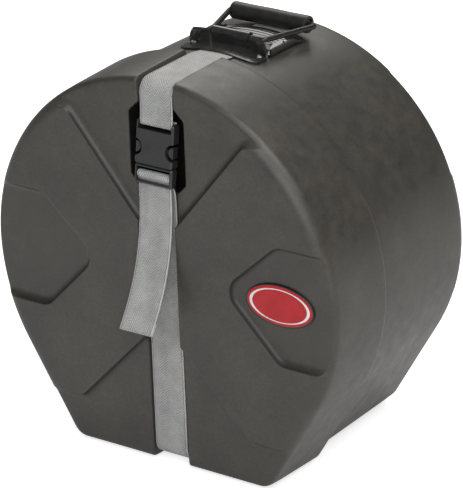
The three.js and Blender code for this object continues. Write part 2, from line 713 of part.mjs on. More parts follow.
function handlePlate() {
  const y = [plate.front, plate.front + plate.length];
  const arch = plate.halfWidth - 2 * plate.lobe;
  const plan = rounded([
    [-plate.halfWidth, y[0]], [-arch, y[0]], [-arch + plate.archDepth, y[0] + plate.archDepth],
    [arch - plate.archDepth, y[0] + plate.archDepth], [arch, y[0]], [plate.halfWidth, y[0]],
    [plate.halfWidth, y[1]], [-plate.halfWidth, y[1]],
  ].map(([px, py]) => new THREE.Vector2(px, py)), new Array(8).fill(plate.corner));
  const sheet = curvedSheet(seatRadius, plate.thickness, -plate.halfWidth, plate.halfWidth, y);
  const flat = sheet.intersect(upright(plan, centreHeight, hingeZ));
  const aboveSeat = curvedSheet(seatRadius + plate.thickness / 2, hinge.rise + plate.earHeight,
    -plate.halfWidth, plate.halfWidth, y);
  const wallY = [y[0] + plate.wallSetBack, y[0] + plate.wallSetBack + plate.wallThickness];
  const wall = block([-hinge.halfLength, hinge.halfLength], wallY, [centreHeight, hingeZ]);
  const earX = [plate.halfWidth - plate.earWidth, plate.halfWidth];
  const earY = [wallY[0] - plate.wallThickness, wallY[1] - plate.wallThickness];
  const ear = block(earX, earY, [centreHeight, baseTop(y[0]) + plate.earHeight]);
  const web = block([hinge.halfLength - plate.wallThickness, earX[0] + plate.wallThickness],
    [earY[0], wallY[1]], [centreHeight, baseTop(y[0]) + plate.earHeight - plate.wallThickness]);
  const sideX = [plate.halfWidth - plate.wallThickness, plate.halfWidth];
  const sideTop = baseTop(y[0]) - (seatRadius - Math.sqrt(seatRadius ** 2 - plate.halfWidth ** 2)) + plate.sideHeight;
  const side = block(sideX, [earY[0], earY[0] + plate.sideLength], [centreHeight, sideTop + plate.thickness]);
  const bore = bail.wireRadius + fit.gap;
  const tubeEnds = [[-hinge.halfLength, hingeY, hingeZ], [hinge.halfLength, hingeY, hingeZ]];
  const tube = rod(bore + hinge.wall, ...tubeEnds, 2 * rivet.sides);
  const hole = rod(bore, [-plate.halfWidth, hingeY, hingeZ], [plate.halfWidth, hingeY, hingeZ], 2 * rivet.sides);
  const standing = union(wall, both(ear), both(web), both(side)).intersect(aboveSeat);
  return union(flat, standing, tube).subtract(hole).subtract(rivetHoles());
}

function handleBacking() {
  const y = [plate.front, plate.front + plate.length];
  const x = [rivet.across - backing.halfWidth, rivet.across + backing.halfWidth];
  return curvedSheet(backingRadius(), backing.thickness, x[0], x[1], y).subtract(rivetHoles());
}

function handleRivet({ y, lean }) {
  const low = backingRadius() - fit.gap;
  const high = seatRadius + plate.thickness + fit.gap;
  const profile = [
    [0, low - rivet.headHeight], [rivet.headRadius, low - rivet.headHeight], [rivet.headRadius, low],
    [rivet.radius, low], [rivet.radius, high], [rivet.headRadius, high],
    [rivet.headRadius / Math.SQRT2, high + rivet.headHeight / Math.SQRT2], [0, high + rivet.headHeight],
  ].map(([px, py]) => new THREE.Vector2(px, py));
  const geometry = new THREE.LatheGeometry(profile, rivet.sides);
  geometry.rotateX(quarterTurn);
  geometry.rotateY(lean);
  geometry.translate(0, y, centreHeight);
  return toSolid(geometry);
}

// The wire loop lies in a plane that is turned about the hinge axis; the first size runs across, the other outwards
function handleBail() {
  const start = hinge.halfLength - bail.stub;
  const corners = [
    [start, 0], [bail.rootHalf, 0], [bail.endHalf, bail.reach],
    [-bail.endHalf, bail.reach], [-bail.rootHalf, 0], [-start, 0],
  ].map(([px, py]) => new THREE.Vector2(px, py));
  const bent = rounded(corners, [0, bail.bend, bail.bend, bail.bend, bail.bend, 0]);
  const points = bent.flatMap((point, at) => {
    const next = bent[at + 1];
    if (!next) return [point];
    const count = Math.max(1, Math.round(point.distanceTo(next) / bail.bend));
    return Array.from({ length: count }, (_, step) => point.clone().lerp(next, step / count));
  }).map((point) => new THREE.Vector3(point.x, point.y, 0));
  const circle = new THREE.Shape();
  circle.absarc(0, 0, bail.wireRadius, 0, 2 * halfTurn);
  const geometry = new THREE.ExtrudeGeometry(circle, {
    extrudePath: new THREE.CatmullRomCurve3(points), steps: 2 * points.length, curveSegments: bail.sides,
  });
  return toSolid(geometry);
}

function handleGrip() {
  const half = grip.length / 2;
  const outer = rod(grip.radius, [-half, bail.reach, 0], [half, bail.reach, 0], grip.sides);
  const reach = half + fit.overrun;
  return outer.subtract(rod(bail.wireRadius + fit.gap, [-reach, bail.reach, 0], [reach, bail.reach, 0], grip.sides));
}

// The badge on the right pad

function ellipse(halfWidth, halfHeight) {
  const x = badge.xShare * body.radius;
  const z = centreHeight + badge.zShare * body.radius;
  return Array.from({ length: badge.sides }, (_, step) => {
    const angle = 2 * halfTurn * step / badge.sides;
    return new THREE.Vector2(x + halfWidth * Math.cos(angle), z + halfHeight * Math.sin(angle));
  });
}

function badgeLayer(inset, rear, thickness) {
  return alongY(ellipse(badge.halfWidth - inset, badge.halfHeight - inset), rear - thickness, rear);
}

const backingRear = relief.padDepth - fit.gap;
const faceRear = backingRear - badge.backing - fit.gap;
const ringRear = faceRear - badge.face - fit.gap;

function badgeRing() {
  const outer = badgeLayer(badge.ringInset, ringRear, badge.ringHeight);
  const inner = badgeLayer(badge.ringInset + badge.ringWidth, ringRear + fit.overrun, 3 * fit.overrun);
  return outer.subtract(inner);
}

// The assembly

const finishes = {
  plastic: { color: 0x4a4742, roughness: 0.62, metalness: 0 },
  foam: { color: 0x2b2c2e, roughness: 0.95, metalness: 0 },
  webbing: { color: 0xb9b8b2, roughness: 0.9, metalness: 0 },
  acetal: { color: 0x1b1b1c, roughness: 0.4, metalness: 0 },
  steel: { color: 0x141414, roughness: 0.25, metalness: 0.6 },
  zinc: { color: 0x8d8d8a, roughness: 0.4, metalness: 0.9 },
  rubber: { color: 0x1d1d1d, roughness: 0.7, metalness: 0 },
  red: { color: 0xb5262b, roughness: 0.35, metalness: 0 },
  white: { color: 0xe8e6e2, roughness: 0.4, metalness: 0 },
};

function part(name, solid, finish) {
  const mesh = new THREE.Mesh(toGeometry(solid), new THREE.MeshStandardMaterial(finishes[finish]));
  mesh.name = name;
  return mesh;
}

const buckleGroup = new THREE.Group();
buckleGroup.position.set(0, buckleOrigin.x, buckleOrigin.y);
buckleGroup.rotation.x = buckleTilt;
buckleGroup.add(
  part('buckle_socket', buckleSocket(), 'acetal'),
  part('buckle_plug', bucklePlug(), 'acetal'),
  part('buckle_prong_right', buckleProng(), 'acetal'),
  part('buckle_prong_left', mirrored(buckleProng()), 'acetal'),
);

const bailGroup = new THREE.Group();
bailGroup.position.set(0, hingeY, hingeZ);
bailGroup.rotation.x = bailAngle;
bailGroup.add(part('handle_bail', handleBail(), 'steel'), part('handle_grip', handleGrip(), 'rubber'));

const drumCase = new THREE.Group();
drumCase.add(
  part('lid_shell', lidShell(), 'plastic'),
  part('base_shell', baseShell(), 'plastic'),
  part('lid_foam', lidFoam(), 'foam'),
  part('base_foam', baseFoam(), 'foam'),
  part('strap_upper', band(upperRoute()), 'webbing'),
  part('strap_lower', band(lowerRoute()), 'webbing'),
  part('strap_rear', band(rearRoute()), 'webbing'),
  part('handle_plate', handlePlate(), 'steel'),
  part('handle_backing_right', handleBacking(), 'zinc'),
  part('handle_backing_left', mirrored(handleBacking()), 'zinc'),
  ...rivetPlaces().map((place) => part(place.name, handleRivet(place), 'zinc')),
  part('badge_backing', badgeLayer(0, backingRear, badge.backing), 'acetal'),
  part('badge_face', badgeLayer(badge.edge, faceRear, badge.face), 'red'),
  part('badge_ring', badgeRing(), 'white'),
  buckleGroup,
  bailGroup,
);

// The origin is under the middle of the whole case, on the surface that it stands on
const bounds = new THREE.Box3().setFromObject(drumCase);
const middle = bounds.getCenter(new THREE.Vector3());
drumCase.position.set(-middle.x, -middle.y, -bounds.min.z);

const assembly = new THREE.Group();
assembly.add(drumCase);

export default assembly;
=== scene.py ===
import bmesh
import bpy
import numpy as np
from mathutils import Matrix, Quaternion, Vector, geometry


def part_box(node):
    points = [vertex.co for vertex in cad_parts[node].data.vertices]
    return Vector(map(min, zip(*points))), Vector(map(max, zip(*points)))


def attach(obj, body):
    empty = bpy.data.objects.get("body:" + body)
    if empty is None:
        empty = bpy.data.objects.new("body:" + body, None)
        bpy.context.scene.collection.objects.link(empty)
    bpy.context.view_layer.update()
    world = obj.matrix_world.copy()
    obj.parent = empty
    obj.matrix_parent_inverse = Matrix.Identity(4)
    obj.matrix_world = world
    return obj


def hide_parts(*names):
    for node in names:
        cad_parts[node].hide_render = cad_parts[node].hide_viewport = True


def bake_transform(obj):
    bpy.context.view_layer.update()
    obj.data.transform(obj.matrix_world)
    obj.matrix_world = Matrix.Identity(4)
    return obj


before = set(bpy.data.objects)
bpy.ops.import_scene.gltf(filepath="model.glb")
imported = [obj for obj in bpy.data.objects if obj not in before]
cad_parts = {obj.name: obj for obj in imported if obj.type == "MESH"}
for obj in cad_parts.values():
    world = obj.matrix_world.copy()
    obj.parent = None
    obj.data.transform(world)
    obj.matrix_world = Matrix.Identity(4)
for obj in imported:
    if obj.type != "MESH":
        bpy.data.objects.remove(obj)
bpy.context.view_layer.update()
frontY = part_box("lid_shell")[0][1]   # the front of the raised faces, in metres
mm = 0.001
quarter = np.pi / 2


# Millimetres measured from the front of the case, as places in the frame
def inFrame(x, y, z):
    return np.stack(np.broadcast_arrays(x, y, z), axis=-1) * mm + (0, frontY, 0)


def unit(rows):
    return rows / np.linalg.norm(rows, axis=-1, keepdims=True)


# Eased at both ends: three times the square less twice the cube
def easeIn(share):
    share = np.clip(share, 0, 1)
    return share * share * (3 - 2 * share)


# Places at the given angles on a circle round a centre
def onCircle(centre, radius, turn):
    return np.stack([centre[0] + radius * np.cos(turn), centre[1] + radius * np.sin(turn)], axis=-1)


# Angles of a full turn, without its end
def fullTurn(sides):
    return np.linspace(0, 2 * np.pi, sides, endpoint=False)


# Rows with their corners cut: each row but the two ends gives way to two, at a quarter and three quarters of the
# way to the next
def softRows(rows, rounds=2):
    for _ in range(rounds):
        first, second = rows[:-1], rows[1:]
        cut = np.stack([first * 0.75 + second * 0.25, first * 0.25 + second * 0.75], axis=1)
        rows = np.concatenate([rows[:1], cut.reshape(-1, *rows.shape[1:]), rows[-1:]])
    return rows


def addObject(name, data):
    made = bpy.data.objects.new(name, data)
    bpy.context.scene.collection.objects.link(made)
    return made


# A smooth mesh from places in metres. Faces is a list of index arrays, one for each number of corners.
def makePiece(name, points, faces, uv=None, sharpAngle=None):
    mesh = bpy.data.meshes.new(name)
    points = np.asarray(points, dtype=np.float64).reshape(-1, 3)
    faces = [np.asarray(face).reshape(-1, np.shape(face)[-1]) for face in faces]
    corners = np.concatenate([face.ravel() for face in faces]).astype(np.int32)
    sizes = np.concatenate([np.full(len(face), face.shape[1]) for face in faces])
    mesh.vertices.add(len(points))
    mesh.vertices.foreach_set("co", points.ravel())
    mesh.loops.add(len(corners))
    mesh.loops.foreach_set("vertex_index", corners)
    mesh.polygons.add(len(sizes))
    mesh.polygons.foreach_set("loop_start", (np.cumsum(sizes) - sizes).astype(np.int32))
    mesh.shade_smooth()
    if uv is not None:
        layer = mesh.uv_layers.new(name="UVMap")
        layer.data.foreach_set("uv", np.asarray(uv).reshape(-1, 2)[corners].ravel())
    mesh.update(calc_edges=True)
    mesh.validate()
    if sharpAngle is not None:
        mesh.set_sharp_from_angle(angle=np.radians(sharpAngle))
    return addObject(name, mesh)


# Quads of a grid of rows and columns; a closed grid joins its last column to its first
def gridFaces(rows, columns, closed=False, start=0):
    row = np.arange(rows - 1)[:, None]
    column = np.arange(columns if closed else columns - 1)[None, :]
    after = (column + 1) % columns
    a, b = row * columns + column, row * columns + after
    c, d = (row + 1) * columns + after, (row + 1) * columns + column
    return np.stack([a, b, c, d], axis=-1).reshape(-1, 4) + start


# Quads of a grid whose last row joins its first as well
def hoopFaces(rows, columns):
    return gridFaces(rows + 1, columns, closed=True) % (rows * columns)


# Quads between rings, and a face at each end
def tubeFaces(rings, sides):
    end = np.arange(sides)[None, :]
    return [gridFaces(rings, sides, closed=True)[:, ::-1], end, (end + (rings - 1) * sides)[:, ::-1]]


def flipped(faces):
    return [np.asarray(face)[:, ::-1] for face in faces]


# The values of one property over a mesh's items
def valuesOf(items, key, kind=np.float32, width=1):
    values = np.empty(len(items) * width, dtype=kind)
    items.foreach_get(key, values)
    return values


def roundEdges(piece, width, angle):
    bevel = piece.modifiers.new("edges", "BEVEL")
    bevel.width, bevel.segments = width * mm, 2
    bevel.limit_method, bevel.angle_limit = "ANGLE", np.radians(angle)
    bevel.harden_normals = True


# A CAD part's mesh with its loose triangles merged, and flat ones joined where an angle is given
def mergedMesh(node, flatAngle=None):
    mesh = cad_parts[node].data.copy()
    work = bmesh.new()
    work.from_mesh(mesh)
    bmesh.ops.remove_doubles(work, verts=work.verts, dist=0.00001)
    if flatAngle:
        bmesh.ops.dissolve_limit(work, angle_limit=np.radians(flatAngle), verts=work.verts, edges=work.edges)
    work.to_mesh(mesh)
    work.free()
    return mesh


stage = {
    "cameraAt": (1.94526, -2.62745, 1.58624), "lookAt": (0.0014, 0.0154, 0.1943), "roll": -2.22, "lens": 267.9,
    "floorSize": 9.0, "floorTone": 0.8, "floorLift": 0.7, "floorShine": 0.2, "worldLight": 0.06, "worldShine": 0.14,
    "lampAim": (0, 0, 0.2),
}
lamps = {   # direction from the case, distance, width, light on what faces it, tone
    "backLamp": ((-0.42, 0.56, 0.71), 4.3, 3.0, 0.4, (1, 0.985, 0.955)),
    "topLamp": ((0.46, 0.08, 0.88), 4.3, 2.4, 0.5, (1, 0.985, 0.955)),
    "edgeLamp": ((0.46, -0.66, 0.58), 3.6, 3.8, 0.75, (0.94, 0.97, 1)),
    "frontLamp": ((0.1, -0.93, 0.36), 4.2, 3.6, 0.06, (1, 1, 1)),
}


def holdAt(name, data, at, aim, roll=0.0):
    holder = addObject(name, data)
    holder.location = at
    holder.rotation_mode = "QUATERNION"
    holder.rotation_quaternion = (aim - at).to_track_quat("-Z", "Y") @ Quaternion((0, 0, 1), np.radians(roll))
    return holder


def makeCamera():
    camera = bpy.data.cameras.new("camera")
    camera.lens, camera.sensor_width, camera.clip_end = stage["lens"], 36, 50
    bpy.context.scene.camera = holdAt("camera", camera, Vector(stage["cameraAt"]), Vector(stage["lookAt"]),
                                      stage["roll"])


def makeLamp(name, direction, distance, size, light, tone):
    lamp = bpy.data.lights.new(name, "AREA")
    lamp.shape, lamp.size, lamp.color = "DISK", size, tone
    lamp.energy = light * (np.pi * distance) ** 2
    aim = Vector(stage["lampAim"])
    holdAt(name, lamp, aim + Vector(direction).normalized() * distance, aim)


# Inputs of a node by name, or by number where names repeat, each a value or another node's output
def feed(tree, node, **inputs):
    for key, value in inputs.items():
        socket = node.inputs[int(key[1:]) if key[1:].isdigit() else key.replace("_", " ")]
        if isinstance(value, bpy.types.NodeSocket):
            tree.links.new(value, socket)
        else:
            socket.default_value = value


def addNode(tree, kind, settings=None, **inputs):
    node = tree.nodes.new("ShaderNode" + kind)
    for key, value in (settings or {}).items():
        setattr(node, key, value)
    feed(tree, node, **inputs)
    return node


def newMaterial(name, **inputs):
    material = bpy.data.materials.new(name)
    material.use_nodes = True
    tree = material.node_tree
    feed(tree, tree.nodes["Principled BSDF"], **inputs)
    return material, tree, tree.nodes["Principled BSDF"]


# Noise on object coordinates, its size in millimetres
def noiseNode(tree, size, detail, roughness):
    place = addNode(tree, "TexCoord").outputs["Object"]
    return addNode(tree, "TexNoise", Vector=place, Scale=1 / (size * mm), Detail=detail,
                   Roughness=roughness).outputs["Fac"]


def rangeNode(tree, value, source, target):
    return addNode(tree, "MapRange", Value=value, From_Min=source[0], From_Max=source[1], To_Min=target[0],
                   To_Max=target[1]).outputs["Result"]


def blendNode(tree, share, first, second, mode="MIX"):
    return addNode(tree, "Mix", {"data_type": "RGBA", "blend_type": mode}, i0=share, i6=first, i7=second).outputs[2]


def darkened(tree, colour, *factors):
    for factor in factors:
        colour = blendNode(tree, 1, colour, factor, "MULTIPLY")
    return colour


def reckon(tree, operation, *values):
    inputs = {f"i{at}": value for at, value in enumerate(values)}
    return addNode(tree, "Math", {"operation": operation}, **inputs).outputs[0]


def bumpNode(tree, height, distance):
    return addNode(tree, "Bump", Height=height, Distance=distance).outputs["Normal"]


paintedShade = {   # painted shade on the shells, for the shade in the groove, along the relief's crests, down the pocket and inside: how dark at most, and from where
    "groove": 0.45, "inside": 0.3, "crest": 0.79, "crestIn": 0.08, "crestOut": 0.3, "faceFrom": 12.0, "faceRun": 14.0,
    "mouth": 0.4, "mouthFrom": 0.03, "deepFrom": 0.8, "deepest": 0.1,
}
plasticLook = {   # a noise is its size, detail and roughness
    "dark": (0.031, 0.0285, 0.0235, 1), "light": (0.052, 0.0475, 0.039, 1), "worn": (0.066, 0.052, 0.038, 1),
    "cloud": (60, 4, 0.6), "smear": (14, 5, 0.65), "wear": (33, 5, 0.7), "grain": (1.7, 2, 0.6), "smearShare": 0.4,
    "toneRange": (0.36, 0.66), "wearRange": (0.5, 0.72), "wearMost": 0.6, "speckRange": (0.3, 0.7),
    "speck": (0.74, 1.2), "rough": (0.38, 0.52), "dullest": 1.0, "grainHeight": 0.00004,
}


# Two tones in clouds and smears, worn patches over them and fine specks. The piece's painted shade, for the shade in
# grooves, crests and the pocket, darkens and dulls them.
def makePlastic():
    look = plasticLook
    material, tree, shader = newMaterial("shellPlastic", Specular_IOR_Level=0.6)
    cloud, smear, wear, grain = [noiseNode(tree, *look[key]) for key in ("cloud", "smear", "wear", "grain")]
    tone = rangeNode(tree, blendNode(tree, look["smearShare"], cloud, smear), look["toneRange"], (0, 1))
    colour = blendNode(tree, tone, look["dark"], look["light"])
    colour = blendNode(tree, rangeNode(tree, wear, look["wearRange"], (0, look["wearMost"])), colour, look["worn"])
    # painted shade: the shells' shade attribute darkens the colour where light falls least
    shade = addNode(tree, "Attribute", {"attribute_name": "shade"}).outputs["Fac"]
    colour = darkened(tree, colour, rangeNode(tree, shade, (0, 1), (1, paintedShade["deepest"])),
                      rangeNode(tree, grain, look["speckRange"], look["speck"]))
    rough = reckon(tree, "MAXIMUM", rangeNode(tree, smear, look["speckRange"], look["rough"]),
                   rangeNode(tree, shade, (0, 1), (0, look["dullest"])))
    feed(tree, shader, Base_Color=colour, Roughness=rough, Normal=bumpNode(tree, grain, look["grainHeight"]))
    return material


finishes = {   # the darker and the lighter tone, the roughness, and what isn't as usual
    # near-black plastic painted as the shade down the pocket's walls and floor
    "deepPlastic": ((0.004, 0.004, 0.0035), (0.007, 0.0068, 0.006), (0.7, 0.85), {"specular": 0.12}),
    "acetal": ((0.019, 0.019, 0.0185), (0.027, 0.0268, 0.026), (0.24, 0.38), {"cloud": 14, "specular": 0.6}),
    "blackSteel": ((0.017, 0.017, 0.0165), (0.027, 0.027, 0.026), (0.12, 0.2),
                   {"grain": 3, "cloud": 10, "height": 0.00001, "specular": 0.7}),
    "rivetSteel": ((0.16, 0.158, 0.15), (0.24, 0.236, 0.225), (0.24, 0.34), {"grain": 1.0, "cloud": 5, "metal": 1.0}),
    "wireSteel": ((0.01, 0.0095, 0.009), (0.018, 0.017, 0.016), (0.22, 0.36), {}),
    "gripRubber": ((0.01, 0.0095, 0.0086), (0.02, 0.019, 0.017), (0.38, 0.52),
                   {"grain": 1.6, "cloud": 9, "height": 0.00008, "specular": 0.45}),
    "badgeEdge": ((0.008, 0.008, 0.008), (0.012, 0.012, 0.012), (0.2, 0.3), {}),
    "badgeRed": ((0.42, 0.011, 0.016), (0.5, 0.017, 0.022), (0.3, 0.4), {"cloud": 20, "specular": 0.35}),
    "badgeWhite": ((0.76, 0.75, 0.73), (0.84, 0.83, 0.81), (0.25, 0.35), {"cloud": 20}),
    "foam": ((0.02, 0.02, 0.022), (0.036, 0.036, 0.038), (0.9, 1.0), {"grain": 1.4, "cloud": 3, "height": 0.0004}),
    "zinc": ((0.45, 0.45, 0.44), (0.6, 0.6, 0.58), (0.3, 0.45), {"metal": 1.0}),
}
usual = {"grain": 0.5, "cloud": 8, "height": 0.00002, "specular": 0.5, "metal": 0.0, "cloudRange": (0.35, 0.65),
         "grainRange": (0.3, 0.7)}


# A plain finish: two close tones in clouds, with a fine grain in gloss and height
def makeFinish(name):
    dark, light, rough, others = finishes[name]
    look = {**usual, **others}
    material, tree, shader = newMaterial(name, Specular_IOR_Level=look["specular"], Metallic=look["metal"])
    tone = rangeNode(tree, noiseNode(tree, look["cloud"], 4, 0.6), look["cloudRange"], (0, 1))
    fine = noiseNode(tree, look["grain"], 3, 0.6)
    feed(tree, shader, Base_Color=blendNode(tree, tone, (*dark, 1), (*light, 1)),
         Roughness=rangeNode(tree, fine, look["grainRange"], rough), Normal=bumpNode(tree, fine, look["height"]))
    return material


# A light's strength for the camera, for reflections and for all else
def seenAs(tree, camera, shine, otherwise):
    path = addNode(tree, "LightPath")
    strength = otherwise
    for ray, amount in (("Is Glossy Ray", shine), ("Is Transmission Ray", shine), ("Is Camera Ray", camera)):
        strength = rangeNode(tree, path.outputs[ray], (0, 1), (strength, amount))
    return strength


def makeFloor():
    size, tone = stage["floorSize"], stage["floorTone"]
    floor = makePiece("floor", [(-size, -size, 0), (size, -size, 0), (size, size, 0), (-size, size, 0)],
                      [[(0, 1, 2, 3)]])
    material, tree, shader = newMaterial("floorPaint", Roughness=0.9, Specular_IOR_Level=0.1,
                                         Base_Color=(tone, tone, tone, 1), Emission_Color=(1, 1, 1, 1))
    feed(tree, shader, Emission_Strength=seenAs(tree, stage["floorLift"], stage["floorShine"], 0.0))
    floor.data.materials.append(material)


def makeWorld():
    world = bpy.data.worlds.new("studio")
    bpy.context.scene.world = world
    world.use_nodes = True
    tree = world.node_tree
    feed(tree, tree.nodes["Background"], Color=(1, 1, 1, 1),
         Strength=seenAs(tree, 1, stage["worldShine"], stage["worldLight"]))


# A piece gets its finish, what it moves with, and the parts it stands for
def dress(piece, material, body, slot, *nodes):
    piece.data.materials.clear()
    piece.data.materials.append(material)
    if nodes:
        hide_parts(*nodes)
    if body:
        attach(piece, body)


case = {
    "radius": 203.8, "bottomSink": 2.9, "bottomHalfWidth": 116.5, "cornerRadius": 20.9, "leastCorner": 6.0,
    "depth": 245.3, "rim": 87.3, "edge": 14.0, "wall": 5.0, "lidDraft": 2.3, "baseStep": 7.2, "baseDraft": 2.6,
    "lipGap": 0.4, "lipFront": 50.3, "topAngle": 48.0, "cornerSteps": 4,
    "ripple": 0.1, "rippleTurn": 0.07, "ripplePhase": 6, "seed": 4, "looseOut": 2.5, "looseIn": 3, "guideIn": 1,
    "gridHalf": 204, "gridRow": 0.87, "lineOut": 0.1, "weld": 1e-3,
}
relief = {
    "depth": 6.5, "padDepth": 5.8, "crest": 1.1, "foot": 8.3, "steep": 72.0, "wingCorner": 13.0, "padCorner": 17.0,
    "wingX": (0.49, 0.505), "wingZ": (-0.348, -0.744, 0.78, 0.295), "padX": (0.388, 0.683),
    "padZ": (0.0265, -0.274, 0.29), "arcs": (3, 7), "guard": 0.9, "spacing": 3.0, "clear": 6.6,
    "wingEnd": (30, -60), "padEnd": 45, "arcRate": 7,
}
groove = {
    "half": 21.0, "lidFloor": 10.3, "rearFloor": 235.0, "lidSkirt": 7.5, "baseSkirt": 11.9, "bend": 12.0,
    "innerLid": 4.0, "innerBase": 5.0, "lipHalf": 25.4, "clear": 26.0,
    "wallAt": (-1.2, -0.7, -0.3, 0.1, 0.6, 1.3, 2.3), "wallShare": (1, 0.94, 0.62, 0.25, 0.09, 0.02, 0),
    "innerAt": (-1.2, 0, 2.3), "floorAt": (0, 0.35, 0.7), "bendEnd": 34, "fine": 2, "coarse": 6,
}
pocket = {
    "z": 332.96, "side": 32.0, "high": 43.0, "chamfer": 11.0, "corner": 4.0, "floor": 24.0, "crest": 1.6, "root": 3.0,
    "taper": 2.0, "clear": 4.5, "guard": 0.8, "centre": -12.0, "spacing": 3.0, "backCorner": 3.0, "backSpacing": 6.0,
}
gridLines = np.array([0, 4, 8, 12, 15, 17.5, 19, 19.8, 20.3, 20.7, 21.1, 21.6, 22.3, 23.3, 25, 26.6, 28.3, 30, 31.7,
                      33.3, 35, 36.3, 37.6, 38.8, 40])
middle = case["radius"] - case["bottomSink"]          # height of the round top's centre
crown = middle + case["radius"]
sideAngle = (np.arctan2(-middle, case["bottomHalfWidth"])
             + np.arccos(case["radius"] / np.hypot(case["bottomHalfWidth"], middle)))


# How far out the centre of a corner lies that touches the straight side
def cornerCentre(radius, corner, z):
    return (radius - corner - (z - middle) * np.sin(sideAngle)) / np.cos(sideAngle)


# The outline moved inwards by an inset, as a loop from the lower left corner to the right, up, over the top and down.
# Its right half is the flat bottom with the corner's arc, the straight and the round side, and the round top, in the
# steps that the plan gives outside the grid lines.
def outlineLoop(inset, plan):
    outer, arc, edge = plan["outer"], case["cornerSteps"], gridLines[-1]
    radius = case["radius"] - inset
    corner = max(case["cornerRadius"] - inset, case["leastCorner"])
    cornerZ = inset + corner
    cornerX = cornerCentre(radius, corner, cornerZ)
    halfway, topAngle = (sideAngle - quarter) / 2, np.radians(case["topAngle"])

    def steps(start, end, count):
        return np.linspace(start, end, count + 1)[1:]

    flatX = np.concatenate([gridLines, edge + (cornerX - edge) * steps(0, 1, outer - arc)])
    topX = np.concatenate([gridLines, edge + (radius * np.cos(topAngle) - edge) * steps(0, 1, outer)])[-2::-1]
    first, last = onCircle((cornerX, cornerZ), corner, sideAngle), onCircle((0, middle), radius, sideAngle)
    right = np.concatenate([
        np.stack([flatX, np.full(len(flatX), inset)], axis=1),
        *[onCircle((cornerX, cornerZ), corner, steps(start, end, arc))
          for start, end in ((-quarter, halfway), (halfway, sideAngle))],
        first + steps(0, 1, plan["straight"])[:, None] * (last - first),
        onCircle((0, middle), radius, steps(sideAngle, topAngle, plan["round"])),
        np.stack([topX, middle + np.sqrt(radius ** 2 - topX ** 2)], axis=1)])
    return np.roll(np.concatenate([right, right[-2:0:-1] * (-1, 1)]), len(flatX) + arc - 1, axis=0)


# A polygon, anticlockwise, with every side moved outwards
def grown(corners, distance):
    corners = np.asarray(corners, dtype=float)
    sides = unit(corners - np.roll(corners, 1, axis=0)), unit(np.roll(corners, -1, axis=0) - corners)
    first, second = [np.stack([side[:, 1], -side[:, 0]], axis=1) for side in sides]
    return corners + (first + second) * distance / (1 + (first * second).sum(axis=1))[:, None]


# Distance to a polygon's outline, less than zero inside
def polygonDistance(x, z, corners):
    nearest = np.full(np.shape(x), np.inf)
    inside = np.zeros(np.shape(x), dtype=bool)
    for (ax, az), (bx, bz) in zip(corners, np.roll(corners, -1, axis=0)):
        along = np.clip(((x - ax) * (bx - ax) + (z - az) * (bz - az)) / ((bx - ax) ** 2 + (bz - az) ** 2), 0, 1)
        nearest = np.minimum(nearest, np.hypot(x - ax - along * (bx - ax), z - az - along * (bz - az)))
        if az != bz:
            inside ^= ((az > z) != (bz > z)) & (x < ax + (bx - ax) * (z - az) / (bz - az))
    return np.where(inside, -nearest, nearest)


def roundedDistance(x, z, corners, radius):
    return polygonDistance(x, z, grown(corners, -radius)) - radius


# Profile of a step down: a small round crest, a steep wall and a wider round foot, as places and depths across it
def stepProfile(drop):
    steep = np.radians(relief["steep"])
    crest, foot = relief["crest"], relief["foot"]
    first = np.linspace(0, steep, relief["arcs"][0] + 1)
    last = np.linspace(steep, 0, relief["arcs"][1] + 1)
    wall = drop - (crest + foot) * (1 - np.cos(steep))
    run = (crest + foot) * np.sin(steep) + wall / np.tan(steep)
    across = np.concatenate([crest * np.sin(first), run - foot * np.sin(last)]) - run / 2
    return across, np.concatenate([crest * (1 - np.cos(first)), drop - foot * (1 - np.cos(last))])


# Where the guide lines of a step run, across it: on its profile, and one before and one after
def stepGuides(drop):
    across = stepProfile(drop)[0]
    return [across[0] - relief["guard"], *across, across[-1] + relief["guard"]]


# Measures of the relief that are given as shares of the radius
def ofRadius(key, start=0):
    return [start + share * case["radius"] for share in relief[key]]


# The raised wing of the right half, which widens from the groove to the side
def wingCorners():
    innerLow, outerLow, outerTop, innerTop = ofRadius("wingZ", middle)
    lowX, topX = ofRadius("wingX")
    far, near = case["radius"] + relief["wingEnd"][0], relief["wingEnd"][1]
    return [(near, innerLow), (groove["half"], innerLow), (lowX, outerLow), (far, outerLow), (far, outerTop),
            (topX, outerTop), (groove["half"], innerTop), (near, innerTop)]


# The sunk pad in the right wing, which comes to a point towards the middle
def padCorners():
    point, low, top = ofRadius("padZ", middle)
    pointX, backX = ofRadius("padX")
    far = case["radius"] + relief["padEnd"]
    return [(pointX, point), (backX, low), (far, low), (far, top), (backX, top)]


def wingDistance(x, z):
    return roundedDistance(np.abs(x), z, wingCorners(), relief["wingCorner"])


def padDistance(x, z):
    return roundedDistance(np.abs(x), z, padCorners(), relief["padCorner"])


def awayFromRelief(x, z):
    return np.minimum(np.abs(wingDistance(x, z)), np.abs(padDistance(x, z))) > relief["clear"]


waves = np.random.default_rng(case["seed"]).uniform(-1, 1, (7, 3))


# A few long waves, as moulded plastic has
def ripple(x, z):
    height = sum(np.sin(case["rippleTurn"] * (a * x + b * z) + case["ripplePhase"] * c) for a, b, c in waves)
    return case["ripple"] * height / 2


# How far the face lies behind the raised wings
def faceDepth(x, z):
    return np.maximum(np.interp(wingDistance(x, z), *stepProfile(relief["depth"])),
                      np.interp(-padDistance(x, z), *stepProfile(relief["padDepth"])))


# The rear stands out where the front lies back
def rearDepth(x, z):
    return relief["depth"] - faceDepth(x, z)


# Share of the groove's depth at a place across it, read off its wall's profile
def grooveShare(x, half):
    return np.interp(np.abs(x) - half, groove["wallAt"], groove["wallShare"])


